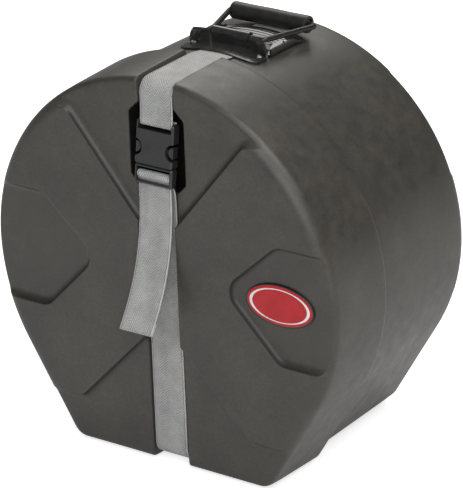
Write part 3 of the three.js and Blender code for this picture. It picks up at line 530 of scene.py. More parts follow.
# The groove's floor in the face is flat and bends into the skirt above and below. A place on that bend, a share of
# the way from a starting height to the skirt: depth behind the flat part, and height.
def bendPlace(z, skirt, share):
    bend = groove["bend"]
    past = np.clip(np.maximum(z - (crown - skirt - bend), skirt + bend - z), 0, bend)
    begin = np.arcsin(past / bend)
    angle = begin + (quarter - begin) * share
    up = np.where(z > middle, crown - skirt - bend + bend * np.sin(angle), skirt + bend - bend * np.sin(angle))
    return bend * (1 - np.cos(angle)), up


# How far inside the outline a place lies, and which way is out from there: from the round side, the straight side,
# the flat bottom or the corner between them
def insetOf(x, z):
    corner, right = case["cornerRadius"], np.abs(x)
    cornerX = cornerCentre(case["radius"], corner, corner)
    fromMiddle, fromCorner = np.hypot(right, z - middle), np.hypot(right - cornerX, z - corner)
    rounded = np.arctan2(z - middle, right) > sideAngle
    straight = case["radius"] - right * np.cos(sideAngle) - (z - middle) * np.sin(sideAngle)
    side = np.where(rounded, case["radius"] - fromMiddle, straight)
    inCorner = (right > cornerX) & (np.arctan2(z - corner, right - cornerX) < sideAngle)
    inset = np.where(inCorner, corner - fromCorner, np.minimum(side, z))
    outX = np.where(rounded, right / fromMiddle, np.cos(sideAngle))
    outZ = np.where(rounded, (z - middle) / fromMiddle, np.sin(sideAngle))
    low = ~inCorner & (z < side)
    outX = np.where(inCorner, (right - cornerX) / fromCorner, np.where(low, 0, outX)) * np.sign(x)
    outZ = np.where(inCorner, (z - corner) / fromCorner, np.where(low, -1, outZ))
    return inset, outX, outZ


# A line through the given places with points at most a spacing apart
def finerLine(places, spacing):
    pieces = []
    for start, end in zip(places[:-1], places[1:]):
        count = max(int(np.ceil(np.hypot(*(end - start)) / spacing)), 1)
        pieces.append(start + np.linspace(0, 1, count, endpoint=False)[:, None] * (end - start))
    return np.concatenate([*pieces, places[-1:]])


# A polygon's outline with round corners, moved outwards by an offset, as a closed line
def outlineAt(corners, radius, offset, spacing):
    shrunk = grown(corners, -radius)
    before, after = shrunk - np.roll(shrunk, 1, axis=0), np.roll(shrunk, -1, axis=0) - shrunk
    first = np.arctan2(-before[:, 0], before[:, 1])
    turn = (np.arctan2(-after[:, 0], after[:, 1]) - first + np.pi) % (2 * np.pi) - np.pi
    line = []
    for place, mitre, start, angle in zip(shrunk, grown(shrunk, radius + offset), first, turn):
        way = start + angle * np.linspace(0, 1, max(int(abs(angle) * relief["arcRate"]), 2) + 1)
        arc = onCircle(place, radius + offset, way)
        line.append(arc if angle > 0 and radius + offset > 0 else mitre[None, :])
    return finerLine(np.concatenate([*line, line[0][:1]]), spacing)


# Upright lines along the groove's walls and floor, closer together where the floor bends
def grooveGuides(half, places=groove["wallAt"]):
    end, fine = groove["bendEnd"], groove["fine"]
    up = np.concatenate([np.arange(0, end, fine), np.arange(end, crown - end, groove["coarse"]),
                         np.arange(crown - end, crown + fine, fine)])
    across = [half * share for share in groove["floorAt"]] + [half + at for at in places]
    return [np.stack([np.full(len(up), side * x), up], axis=1) for x in across for side in (1, -1)]


# The lines of the relief, right and left, outside the groove
def reliefGuides():
    lines = [outlineAt(wingCorners(), relief["wingCorner"], across, relief["spacing"])
             for across in stepGuides(relief["depth"])]
    lines += [outlineAt(padCorners(), relief["padCorner"], -across, relief["spacing"])
              for across in stepGuides(relief["padDepth"])]
    return [line * (side, 1) for line in lines for side in (1, -1)]


# A place on a face: the flat with its relief, the quarter round at its edge, and the groove, whose floor bends into
# the skirt at both ends. The relief and the quarter round join as the fourth root of the sum of their fourth powers,
# and the groove is never less deep than the relief.
def surfaceAt(side, sign, x, z):
    reach = side["draft"] + side["edge"]
    share = np.clip((reach - insetOf(x, z)[0]) / side["edge"], 0, 1)
    drop = side["edge"] * (1 - np.sqrt(1 - share ** 2))
    least, wave = np.maximum(side["depth"](x, z), 0), ripple(x, z)
    y = (least ** 4 + drop ** 4) ** 0.25 + wave
    start = np.where(z > middle, middle + np.sqrt(np.maximum((case["radius"] - reach) ** 2 - x * x, 0)), reach)
    deep, up = bendPlace(np.where(share > 0, start, z), side["skirt"], np.arcsin(share) / quarter)
    up = np.where(share > 0, up, z)
    inGroove = grooveShare(x, side["half"])
    y = np.maximum(y + (sign * (side["floor"] - side["face"]) + deep - y) * inGroove, least + wave)
    if "pocket" in side:
        y = y + (pocket["floor"] - y) * side["pocket"](x, z)
    return x, side["face"] + sign * y, z + (up - z) * inGroove


# Triangles between lines, and points on a loose grid where they are free of the lines. Where lines cross, a point
# is added. What lies inside the outermost closed line is kept, with the index each place had among the given ones.
def triangles(lines, side, leastInset, looseInset, closing=None):
    spacing = side["spacing"]
    x, z = np.meshgrid(np.arange(-case["gridHalf"], case["gridHalf"], spacing),
                       np.arange(0, 2 * case["gridHalf"], spacing * case["gridRow"]))
    x = x + (np.arange(len(x))[:, None] % 2) * spacing / 2
    loose = side["free"](x, z) & (insetOf(x, z)[0] > looseInset)
    places, edges, count = [], [], 0
    for line in lines:
        inside = insetOf(*line.T)[0] > leastInset - case["lineOut"]
        kept = np.flatnonzero(inside[:-1] | inside[1:]) + count
        edges.append(np.stack([kept, kept + 1], axis=1))
        places.append(line)
        count += len(line)
    if closing:
        edges.append(np.array([closing]))
    places = np.concatenate([*places, np.stack([x[loose], z[loose]], axis=1)])
    found = geometry.delaunay_2d_cdt([Vector(place) for place in places.tolist()],
                                     np.concatenate(edges).tolist(), [], 1, case["weld"])
    flat = np.array([tuple(place) for place in found[0]])
    used, corners = np.unique(np.array(found[2]), return_inverse=True)
    origin = np.array([found[3][index][0] if found[3][index] else -1 for index in used.tolist()])
    return flat[used, 0], flat[used, 1], corners.reshape(-1, 3), origin


# Painted shade on the outside, from 0 to 1: in the groove, where the flat face steps down, and down the pocket
def paintedOuterShade(outer, x, z):
    look = paintedShade
    deep = faceDepth(x, z) / relief["depth"]
    onFace = easeIn((insetOf(x, z)[0] - look["faceFrom"]) / look["faceRun"])
    fading = easeIn((deep - look["crestOut"]) / (1 - look["crestOut"]))
    shade = np.maximum(look["groove"] * grooveShare(x, outer["half"]),
                       look["crest"] * onFace * easeIn(deep / look["crestIn"]) * (1 - fading))
    if "pocket" in outer:
        sunk = outer["pocket"](x, z)
        shade = np.maximum(shade, np.where(sunk > look["mouthFrom"], look["mouth"] + (1 - look["mouth"]) * sunk, 0))
    return shade


# One closed shell: the face with its quarter round, the side, the rim and the same inside. sign is 1 for a shell
# whose face looks forward. Outer and inner say where face, edge and groove are; rim lists rings down the side and
# back up inside as y, inset, half width and skirt of the groove.
def makeShell(name, plan, sign, outer, inner, rim):
    points, shades, faces = [], [], []

    def addPoints(places, shade=0.0):
        start = sum(len(batch) for batch in points)
        points.append(inFrame(*places).reshape(-1, 3))
        shades.append(np.broadcast_to(shade, len(points[-1])))
        return np.arange(start, start + len(points[-1]))

    def edgeInsets(side):
        return side["draft"] + side["edge"] * (1 - np.cos(np.radians(np.linspace(0, 90, side["steps"] + 1))))

    rings = [outlineLoop(inset, plan) for inset in edgeInsets(outer)]
    lines = [np.concatenate([ring, ring[:1]]) for ring in rings] + outer["guides"]
    x, z, corners, _ = triangles(lines, outer, outer["draft"], outer["draft"] + outer["edge"] + case["looseOut"])
    addPoints(surfaceAt(outer, sign, x, z), paintedOuterShade(outer, x, z))
    faces.append(corners)
    ends = np.stack([corners, np.roll(corners, -1, axis=1)], axis=-1).reshape(-1, 2)
    single = ~np.isin(ends[:, 0] * len(x) + ends[:, 1], ends[:, 1] * len(x) + ends[:, 0])
    loop = ends[single, 0]
    loop = loop[np.argsort(np.arctan2(z[loop] - middle, x[loop]))]
    borderX, borderZ = x[loop], z[loop]
    _, outX, outZ = insetOf(borderX, borderZ)

    def borderAt(inset):
        return borderX + outX * (outer["draft"] - inset), borderZ + outZ * (outer["draft"] - inset)

    def sideRing(y, inset, half, skirt):
        x, z = borderAt(inset)
        return x, y, z + (np.where(z > middle, crown - skirt, skirt) - z) * grooveShare(x, half)

    rings = [sideRing(*place) for place in rim]
    rings += [sideRing(y, inset, inner["half"], inner["skirt"]) for y, inset in inner["walls"]]
    rings += [surfaceAt(inner, sign, *borderAt(inset)) for inset in edgeInsets(inner)]
    # the rim rings get no painted shade, the rings inside get the painted shade of the inside
    for ring in rings:
        after = addPoints(ring, 0.0 if len(faces) < len(rim) else paintedShade["inside"])
        faces.append(np.stack([after, np.roll(after, -1), np.roll(loop, -1), loop], axis=1))
        loop = after

    reach = inner["draft"] + inner["edge"]
    border = np.stack(borderAt(reach), axis=1)
    lines = [border] + [line[insetOf(*line.T)[0] > reach + case["guideIn"]] for line in inner["guides"]]
    x, z, corners, origin = triangles(lines, inner, reach, reach + case["looseIn"], (len(border) - 1, 0))
    known = (origin >= 0) & (origin < len(border))
    index = np.empty(len(x), dtype=int)
    index[known] = loop[origin[known]]
    index[~known] = addPoints(surfaceAt(inner, sign, x[~known], z[~known]), paintedShade["inside"])
    faces.append(index[corners][:, ::-1])
    piece = makePiece(name, np.concatenate(points), faces if sign > 0 else flipped(faces))
    # each point carries its painted shade as the shade attribute
    layer = piece.data.attributes.new("shade", "FLOAT", "POINT")
    layer.data.foreach_set("value", np.concatenate(shades).astype(np.float32))
    return piece


# Painted shade: the faces with a corner whose painted shade passes a limit take a second, near-black material for the
# shade down the pocket
def paintDeepShade(piece, material):
    mesh = piece.data
    shade = valuesOf(mesh.attributes["shade"].data, "value")
    corners = valuesOf(mesh.loops, "vertex_index", np.int32)
    darkest = np.maximum.reduceat(shade[corners], valuesOf(mesh.polygons, "loop_start", np.int32))
    mesh.materials.append(material)
    mesh.polygons.foreach_set("material_index", (darkest > paintedShade["deepFrom"]).astype(np.int32))
    mesh.update()


# The side's inset: the draft's share of the way from the rim to the face
def lidInset(y):
    return case["lidDraft"] * (case["rim"] - y) / case["rim"]


# The base's inset: the step at the rim, and the draft's share of the way to the rear
def baseInset(y):
    return case["baseStep"] + case["baseDraft"] * (y - case["rim"]) / (case["depth"] - case["rim"])


def pocketCorners():
    side, high = pocket["side"], pocket["high"]
    waist, shoulder = side - pocket["chamfer"], high - pocket["chamfer"]
    corners = np.array([(-waist, -high), (waist, -high), (side, -shoulder), (side, shoulder), (waist, high),
                        (-waist, high), (-side, shoulder), (-side, -shoulder)])
    return corners + (0, pocket["z"])


# Profile of the pocket's wall: its crest, the drafted wall and the root, as distances outside the mouth and shares
# of the depth
def pocketProfile():
    crest, root, wall = pocket["crest"], pocket["root"], pocket["floor"] - relief["depth"]
    bend = np.radians([0, 30, 60, 90])
    across = np.concatenate([crest * (1 - np.sin(bend)), -pocket["taper"] - root * (1 - np.cos(bend))])
    deep = np.concatenate([crest * (1 - np.cos(bend)), wall - root * (1 - np.sin(bend))])
    return across, deep / wall


# Share of the pocket's depth at a place
def inPocket(x, z):
    across, deep = pocketProfile()
    return np.interp(-roundedDistance(x, z, pocketCorners(), pocket["corner"]), -across, deep)


def pocketGuides():
    across = pocketProfile()[0]
    offsets = [across[0] + pocket["guard"], *across, across[-1] - pocket["guard"], pocket["centre"]]
    return [outlineAt(pocketCorners(), pocket["corner"], offset, pocket["spacing"]) for offset in offsets]


lidPlan = {   # points along the outline, how the face is meshed, and where rings lie
    "outer": 16, "straight": 24, "round": 60, "outside": {"steps": 9, "spacing": 6},
    "inside": {"draft": 7, "edge": 9, "steps": 3, "spacing": 9}, "clear": 30, "backEdge": (2.5, -2.5),
    "sideAt": (27, 36, 46, 56, 66, 75, 82, 85.2), "rimOut": ((1, 0.25), (0.3, 0.8), (0, 1.7)),
    "rimIn": ((0, 1.2), (0.4, 0.35), (1.3, 0)), "wallAt": (78, 60, 45, 33, 24),
}
basePlan = {
    "outer": 14, "straight": 20, "round": 50, "outside": {"draft": 9.75, "steps": 8, "spacing": 7},
    "inside": {"draft": 14.6, "edge": 6, "steps": 3, "spacing": 14}, "clear": 36,
    "sideAt": (215, 200, 180, 160, 140, 120, 105, 95, 90.5, 88.8), "lipAt": (87.3, 80, 65, 52), "lipInsetAt": 50,
    "rimOut": ((0.4, 0.5), (0, 1.5)), "rimIn": ((0, 1.2), (0.4, 0.4), (1.5, 0)), "wallAt": (70, 100, 140, 180, 215),
}


def makeLid():
    half, skirt, thick = groove["half"], groove["lidSkirt"], groove["innerLid"]
    wall, plan = case["wall"], lidPlan
    back = grown(pocketCorners(), wall)

    def innerDepth(x, z):
        return (pocket["floor"] - relief["depth"]) * easeIn(0.5 - polygonDistance(x, z, back) / wall)

    def free(x, z):
        clearOfPocket = polygonDistance(x, z, pocketCorners()) > pocket["clear"]
        return awayFromRelief(x, z) & (np.abs(x) > groove["clear"]) & clearOfPocket

    outer = {**plan["outside"], "face": 0, "depth": faceDepth, "draft": case["lidDraft"], "edge": case["edge"],
             "floor": groove["lidFloor"], "skirt": skirt, "half": half, "pocket": inPocket, "free": free,
             "guides": reliefGuides() + grooveGuides(half) + pocketGuides()}
    inner = {**plan["inside"], "face": relief["depth"] + wall, "depth": innerDepth,
             "floor": groove["lidFloor"] + thick, "skirt": skirt + thick, "half": half + thick,
             "free": lambda x, z: np.abs(x) > plan["clear"],
             "guides": [outlineAt(back, pocket["backCorner"], offset, pocket["backSpacing"])
                        for offset in plan["backEdge"]] + grooveGuides(half + thick, groove["innerAt"]),
             "walls": [(y, wall + lidInset(y)) for y in plan["wallAt"]]}
    rim = [(y, lidInset(y), half, skirt) for y in plan["sideAt"]]
    rim += [(case["rim"] - behind, inset, half, skirt + inset) for behind, inset in plan["rimOut"]]
    rim += [(case["rim"] - behind, wall - inset, half + thick - inset, skirt + thick - inset)
            for behind, inset in plan["rimIn"]]
    return makeShell("lidShell", plan, 1, outer, inner, rim)


def makeBase():
    half, skirt, lipHalf, thick = groove["half"], groove["baseSkirt"], groove["lipHalf"], groove["innerBase"]
    wall, lipY, plan = case["wall"], case["lipFront"], basePlan

    def free(x, z):
        return awayFromRelief(x, z) & (np.abs(x) > groove["clear"])

    outer = {**plan["outside"], "face": case["depth"], "depth": rearDepth, "edge": case["edge"],
             "floor": groove["rearFloor"], "skirt": skirt, "half": half, "free": free,
             "guides": reliefGuides() + grooveGuides(half)}
    inner = {**plan["inside"], "face": case["depth"] - relief["depth"] - wall,
             "depth": lambda x, z: np.zeros(x.shape), "floor": groove["rearFloor"] - thick, "skirt": skirt + thick,
             "half": lipHalf + thick, "free": lambda x, z: np.abs(x) > plan["clear"],
             "guides": grooveGuides(lipHalf + thick, groove["innerAt"]),
             "walls": [(y, wall + baseInset(y)) for y in plan["wallAt"]]}
    lip, end = wall + case["lipGap"], wall + baseInset(lipY)
    rim = [(y, baseInset(y), half, skirt) for y in plan["sideAt"]]
    rim += [(y, lip + lidInset(y), lipHalf, skirt) for y in plan["lipAt"]]
    rim += [(lipY + behind, lip + lidInset(plan["lipInsetAt"]) + inset, lipHalf, skirt + inset)
            for behind, inset in plan["rimOut"]]
    rim += [(lipY + behind, end - inset, lipHalf + wall - inset, skirt + wall - inset)
            for behind, inset in plan["rimIn"]]
    return makeShell("baseShell", plan, -1, outer, inner, rim)


foot = {
    "x": 76.0, "halfX": 14.0, "front": 109.0, "rear": 227.0, "power": 5.0,
    "rings": ((0, 11.9), (0.1, 4.5), (0.5, 1.8), (1.3, 0.6), (2.6, 0.05), (4.2, 0), (5.2, 0.6), (5.8, 1.3)),
}


# A moulded foot: the same rounded oblong, a superellipse, drawn in and at a height for each ring, with a hollow
# underside
def makeFoot(name, side):
    turn = fullTurn(72)
    length, centre = (foot["rear"] - foot["front"]) / 2, (foot["rear"] + foot["front"]) / 2
    roundX, roundY = [np.sign(way) * np.abs(way) ** (2 / foot["power"]) for way in (np.cos(turn), np.sin(turn))]
    points = [inFrame(side * foot["x"] + (foot["halfX"] - inset) * roundX, centre + (length - inset) * roundY, z)
              for inset, z in foot["rings"]]
    return makePiece(name, points, tubeFaces(len(points), len(turn)), sharpAngle=55)


webbingLook = {
    "light": (0.525, 0.52, 0.508, 1), "dark": (0.2, 0.197, 0.19, 1), "pick": 2.8, "band": 9.5, "rib": 1.3,
    "height": 0.00035, "half": 19.0, "edge": 1.7, "fuzz": (1.4, 4, 0.7), "stain": (20, 4, 0.6), "fuzzShare": 1.4,
    "ribShare": 0.35, "toneRange": (0.4, 2.15), "line": (0.2, 0.7), "lineTone": 0.62, "wear": (0.86, 1.1),
}


# A herringbone weave from the band's own map in millimetres: slanting ridges that change their slant from band to
# band, fine ribs along it, and a plain edge on both sides behind a darker line
def makeWebbing():
    look = webbingLook
    material, tree, shader = newMaterial("webbing", Roughness=0.88, Specular_IOR_Level=0.25, Sheen_Weight=0.25)
    split = addNode(tree, "SeparateXYZ", Vector=addNode(tree, "TexCoord").outputs["UV"])
    across, along = split.outputs["X"], split.outputs["Y"]
    slanted = reckon(tree, "ADD", along, reckon(tree, "PINGPONG", across, look["band"]))
    ridge = reckon(tree, "SINE", reckon(tree, "MULTIPLY", slanted, 2 * np.pi / look["pick"]))
    rib = reckon(tree, "ABSOLUTE", reckon(tree, "SINE", reckon(tree, "MULTIPLY", across, np.pi / look["rib"])))
    height = reckon(tree, "MULTIPLY_ADD", rib, look["ribShare"], reckon(tree, "MULTIPLY_ADD", ridge, 0.5, 0.5))
    height = reckon(tree, "MULTIPLY_ADD", noiseNode(tree, *look["fuzz"]), look["fuzzShare"], height)
    inwards = reckon(tree, "SUBTRACT", look["half"], reckon(tree, "ABSOLUTE", across))
    plain = rangeNode(tree, inwards, (look["edge"] * 0.5, look["edge"]), (1, 0))
    fromLine = reckon(tree, "ABSOLUTE", reckon(tree, "SUBTRACT", inwards, look["edge"]))
    colour = blendNode(tree, rangeNode(tree, height, look["toneRange"], (0, 1)), look["dark"], look["light"])
    colour = blendNode(tree, plain, colour, look["light"])
    colour = darkened(tree, colour, rangeNode(tree, fromLine, look["line"], (look["lineTone"], 1)),
                      rangeNode(tree, noiseNode(tree, *look["stain"]), usual["cloudRange"], look["wear"]))
    feed(tree, shader, Base_Color=colour, Normal=bumpNode(tree, height, look["height"]))
    return material


strap = {
    "half": 19.0, "thickness": 1.6, "gap": 0.3, "spacing": 1.0, "across": 13, "tailLength": 136.0, "tailCurl": 41.0,
    "tailPower": 2.5, "hem": 11.0, "fold": 0.95, "edgeIn": 0.6, "edgeRound": 0.15, "blendFrom": 100.0, "blendTo": 40.0,
    "lidAt": 60.0, "step": 5.0, "baseAt": 170.0, "frontAt": (60.0, 250.0), "sewn": (0.5, 0.25),
}
buckle = {
    "y": 10.8, "z": 356.9024, "tilt": 9.0, "length": 41.0, "slot": 7.0, "bar": 2.1, "plugGap": 0.3,
    "plugLength": 19.0, "barDrop": 9.8, "rail": 1.8, "railForward": 2.6, "wrap": 210.0, "edge": 0.45,
}


# A place in the buckle's own frame, y to the rear and z up from the socket's bar, turned into the case's
def fromBuckle(y, z):
    tilt = np.radians(buckle["tilt"])
    return np.stack([buckle["y"] + y * np.cos(tilt) + z * np.sin(tilt),
                     buckle["z"] - y * np.sin(tilt) + z * np.cos(tilt)], axis=-1)


# The whole band from its sewn end behind the socket, over the top, down the rear, back below, up the front, round
# the plug's bar and down again as the tail with its folded hem
def strapRoute():
    thick, gap, slot, rail = strap["thickness"], strap["gap"], buckle["slot"], buckle["rail"]
    lidSkirt, baseSkirt, bend, rimY = groove["lidSkirt"], groove["baseSkirt"], groove["bend"], case["rim"]
    lift = gap + thick / 2
    wrap, front = buckle["bar"] + lift, groove["lidFloor"] - lift
    bendFront, bendRear = groove["lidFloor"] + bend, groove["rearFloor"] - bend
    plugTop = -(buckle["length"] + buckle["plugGap"])
    barDrop, railDrop = plugTop - buckle["barDrop"], plugTop - buckle["plugLength"] + rail
    inner = rail - buckle["railForward"] + lift
    outer = inner + thick + gap

    def roundBar(drop, start, end):
        return fromBuckle(*onCircle((0, drop), wrap, np.linspace(start, end, 17)).T)

    def roundEnd(y, z, start):
        return onCircle((y, z), bend + lift, np.linspace(start, start - quarter, 13))

    def onSide(lidZ, baseZ):
        return [(strap["lidAt"], lidZ), (rimY, lidZ), (rimY + strap["step"], lidZ), (handle["front"], baseZ),
                (strap["baseAt"], baseZ)]

    share = np.linspace(0, 1, 15)
    tail = fromBuckle(inner, railDrop - rail) - np.stack([strap["tailCurl"] * share ** strap["tailPower"],
                                                          strap["tailLength"] * share], axis=1)
    along, turn = unit(tail[-1] - tail[-2]), np.linspace(0, np.pi, 7)[1:, None]
    behind, fold = np.array([-along[1], along[0]]), strap["fold"]
    hem = tail[-1] + behind * fold + fold * (np.sin(turn) * along - np.cos(turn) * behind)
    return np.vstack([
        fromBuckle(wrap, slot * np.array(strap["sewn"])), roundBar(0, 4 * quarter, 2 * quarter),
        fromBuckle(-wrap, slot), (front, pocket["z"] + pocket["high"]),
        roundEnd(bendFront, crown - lidSkirt - bend, 2 * quarter),
        onSide(crown - lidSkirt + lift, crown - baseSkirt + lift),
        roundEnd(bendRear, crown - baseSkirt - bend, quarter), roundEnd(bendRear, baseSkirt + bend, 0),
        onSide(lidSkirt - lift, baseSkirt - lift)[::-1], roundEnd(bendFront, lidSkirt + bend, 3 * quarter),
        *[(front, z) for z in strap["frontAt"]], (front, pocket["z"] - pocket["high"]), fromBuckle(outer, railDrop),
        roundBar(barDrop, 0, np.radians(buckle["wrap"])), fromBuckle(inner, railDrop + rail), tail, hem,
        *[hem[-1] - along * strap["hem"] * share for share in (0.5, 1)]])


# A flat band: its round-edged section is carried along the route, square to it, at even steps
def makeStrap():
    route = softRows(strapRoute())
    length = np.concatenate([[0], np.cumsum(np.linalg.norm(np.diff(route, axis=0), axis=1))])
    even = np.linspace(0, length[-1], int(length[-1] / strap["spacing"]) + 1)
    route = np.stack([np.interp(even, length, route[:, axis]) for axis in (0, 1)], axis=1)
    along = unit(np.gradient(route, axis=0))
    normal = np.stack([-along[:, 1], along[:, 0]], axis=1)
    half, thick, corner = strap["half"], strap["thickness"] / 2, strap["half"] - strap["edgeRound"]
    flat = np.linspace(strap["edgeIn"] - half, half - strap["edgeIn"], strap["across"])
    section = np.array([(x, thick) for x in flat] + [(corner, thick * 0.6), (half, 0), (corner, -thick * 0.6)])
    section = np.concatenate([section, -section])
    x = np.broadcast_to(section[:, 0], (len(route), len(section)))
    y, z = [route[:, None, axis] + normal[:, None, axis] * section[None, :, 1] for axis in (0, 1)]
    uv = np.stack([x, np.broadcast_to(even[:, None], x.shape)], axis=-1)
    return makePiece("strapWebbing", inFrame(x, y, z), flipped(tubeFaces(*x.shape)), uv=uv, sharpAngle=60)


# A copy of a CAD part with its edges rounded
def roundedCopy(name, node, width):
    mesh = mergedMesh(node, 1.5)
    mesh.shade_smooth()
    mesh.set_sharp_from_angle(angle=np.radians(40))
    piece = addObject(name, mesh)
    roundEdges(piece, width, 40)
    return piece


handle = {
    "front": 118.0, "half": 46.0, "sheet": 2.0, "hingeY": 134.0, "hingeZ": 408.23, "barHalf": 21.5, "barBore": 3.1,
    "rear": 186.0, "rearFront": 133.2, "sideHeight": 8.0, "ribHeight": 0.45, "ribPitch": 5.4, "ribs": (145.0, 182.8),
    "ribHalf": 34, "ribEnd": 5, "sideX": (45.2, 43.0), "sideFoot": 0.25, "flatHalf": 40, "sideLess": 0.6,
    "lessFrom": 166, "lessRun": 20, "drop": 1.0, "dropFrom": 173, "dropRun": 11, "rolled": (212, -75),
    "seatLift": 0.3, "edge": 0.35, "columns": ((0, 21, 16), (21.8, 23.7, 8), (24.6, 46.0, 24)), "footRun": 3,
    "wallShares": (0.14, 0.3, 0.45, 0.6, 0.75, 0.88, 1, 1),
    "frontAt": (0, 8, 16, 24, 34, 41, 44, 46), "frontY": (109.5, 109, 107.3, 106.2, 106.4, 108, 110, 113),
    "wallAt": (0, 21.8, 22.1, 23.3, 23.7, 30, 35, 39, 42, 44, 46),
    "footY": (126, 126, 126.2, 126.3, 126.4, 126.8, 127.1, 127.1, 126.2, 125, 123.5),
    "cornerY": (132.6, 132.6, 132.2, 131.6, 131, 130.8, 130.4, 129.9, 129.2, 128.3, 127.2),
    "topY": (130.9, 130.9, 131.5, 131.5, 130.9, 130.6, 130.4, 130.3, 130.8, 132.6, 135.4),
    "topZ": (406.8, 406.8, 401.5, 401.5, 408.4, 408.2, 407.9, 407.4, 406.7, 405.9, 405),
    "flareAt": (0, 24, 38, 46), "flare": (1, 1.3, 2, 2.6), "dartAt": 34.0, "dart": 0.4, "dartWidth": 2.6,
    "wire": 2.8, "wireShift": (7.0, 2.0), "wireHinge": 31.0, "wireEnd": 50.5, "reach": 66.0, "turn": -0.0528,
    "wirePlaces": (14, 5, 28, 9, 30),
    "grip": 8.7, "gripHalf": 45.0, "gripWave": 0.12, "hollow": 5.6, "hollowDepth": 5.0,
}
seatRadius = case["radius"] - baseInset(handle["front"]) + handle["seatLift"]


# The seat that the plate is bent to: a round about the outline's own middle
def seatHeight(x):
    return middle + np.sqrt(seatRadius ** 2 - x ** 2)


# A pressed sheet: grids of its underside in millimetres, thickened along their faces
def makeSheet(name, grids, thickness, edge):
    points, faces, count = [], [], 0
    for grid in grids:
        faces.append(gridFaces(*grid.shape[:2], start=count))
        points.append(inFrame(*np.moveaxis(grid, -1, 0)).reshape(-1, 3))
        count += len(points[-1])
    piece = makePiece(name, np.concatenate(points), faces)
    solid = piece.modifiers.new("thickness", "SOLIDIFY")
    solid.thickness, solid.offset = thickness * mm, 1
    roundEdges(piece, edge, 50)
    return piece


# Front pressing: for each place across, a line over the seat, up through a hollow to the wall and to the bar or the
# top of an ear. The wall leans by a power of its height, which flares the ears' ends, and a dart is pressed in each.
def frontPressing():
    x = np.concatenate([np.linspace(*span) for span in handle["columns"]])
    x = np.concatenate([-x[:0:-1], x])
    right = np.abs(x)
    front = np.interp(right, handle["frontAt"], handle["frontY"])
    foot, corner, topY, topZ = [np.interp(right, handle["wallAt"], handle[key])
                                for key in ("footY", "cornerY", "topY", "topZ")]
    flare = np.interp(right, handle["flareAt"], handle["flare"])
    dart = handle["dart"] * np.exp(-((right - handle["dartAt"]) / handle["dartWidth"]) ** 2)
    seat = seatHeight(x)
    y = [front, front + handle["footRun"], (front + foot) / 2, foot, (foot + corner) / 2, corner]
    z = [seat] * len(y)
    for share in handle["wallShares"]:
        y.append(corner + (topY - corner) * share ** flare - dart * np.sin(np.pi * share))
        z.append(seat + share * (topZ - seat))
    return softRows(np.stack([np.broadcast_to(x, (len(y), len(x))), np.array(y), np.array(z)], axis=-1))


# Places out from the handle's hinge, at an angle up from straight back
def fromHinge(x, out, turn):
    return np.stack(np.broadcast_arrays(x, handle["hingeY"] + out * np.cos(turn),
                                        handle["hingeZ"] + out * np.sin(turn)), axis=-1)


# Rolled bar: the sheet goes on from the wall round the hinge, as an arc carried across
def rolledBar():
    turn = np.radians(np.linspace(*handle["rolled"], 25))[:, None]
    return fromHinge(np.linspace(-handle["barHalf"], handle["barHalf"], 15)[None, :], handle["barBore"], turn)


# Rear plate: the seat's round across with both sides turned up, carried to the rear over low ribs. Past the seat it
# comes down to the base.
def rearPlate():
    half, (first, last) = handle["half"], handle["ribs"]
    flat = np.linspace(-handle["flatHalf"], handle["flatHalf"], 41)
    y = np.linspace(handle["rearFront"], handle["rear"], 90)
    lowest = seatHeight(half)
    tall = handle["sideHeight"] * (1 - handle["sideLess"] * easeIn((y - handle["lessFrom"]) / handle["lessRun"]))
    sideX = np.array([half, half, half, *handle["sideX"]])
    sideZ = [lowest + tall, lowest + tall * 0.6, lowest + tall * 0.25, lowest + handle["sideFoot"] + 0 * y,
             seatHeight(sideX[-1]) + 0 * y]
    x = np.concatenate([-sideX, flat, sideX[::-1]])
    z = np.concatenate([sideZ, np.broadcast_to(seatHeight(flat)[:, None], (len(flat), len(y))), sideZ[::-1]])
    rib = np.sin(np.pi * (y - first) / handle["ribPitch"]) ** 2 * ((y > first) & (y < last))
    z = z + handle["ribHeight"] * rib[None, :] * easeIn((handle["ribHalf"] - np.abs(x)) / handle["ribEnd"])[:, None]
    z = z - handle["drop"] * easeIn((y - handle["dropFrom"]) / handle["dropRun"])[None, :]
    rows = np.stack(np.broadcast_arrays(x[:, None], y[None, :], z), axis=-1)
    return np.swapaxes(softRows(rows, 1), 0, 1)


# The handle's wire: circles carried square to a path that lies in a plane. It runs from the bar out, back along both
# arms with soft bends, and through the grip.
def makeBail():
    hinge, end, reach, turn = handle["wireHinge"], handle["wireEnd"], handle["reach"], handle["turn"]
    slope, (inBar, bend, arm, corner, inGrip) = (end - hinge) / reach, handle["wirePlaces"]
    right = [(inBar, 0), (hinge - bend, 0), (hinge, 0), (hinge + bend * slope, bend), (hinge + arm * slope, arm),
             (end - corner * slope, reach - corner), (end, reach), (end - corner, reach), (inGrip, reach), (0, reach)]
    flat = softRows(np.array(right + [(-x, out) for x, out in right[-2::-1]]), 3)
    shift = np.interp(flat[:, 1], (0, reach), handle["wireShift"])
    path = fromHinge(flat[:, 0] + shift, flat[:, 1], turn)
    across = np.array([0, -np.sin(turn), np.cos(turn)])
    out = np.cross(unit(np.gradient(path, axis=0)), across)
    around = fullTurn(20)[None, :, None]
    rings = path[:, None] + handle["wire"] * (np.cos(around) * out[:, None] + np.sin(around) * across)
    return makePiece("handleWire", inFrame(*np.moveaxis(rings, -1, 0)), tubeFaces(*rings.shape[:2]), sharpAngle=50)


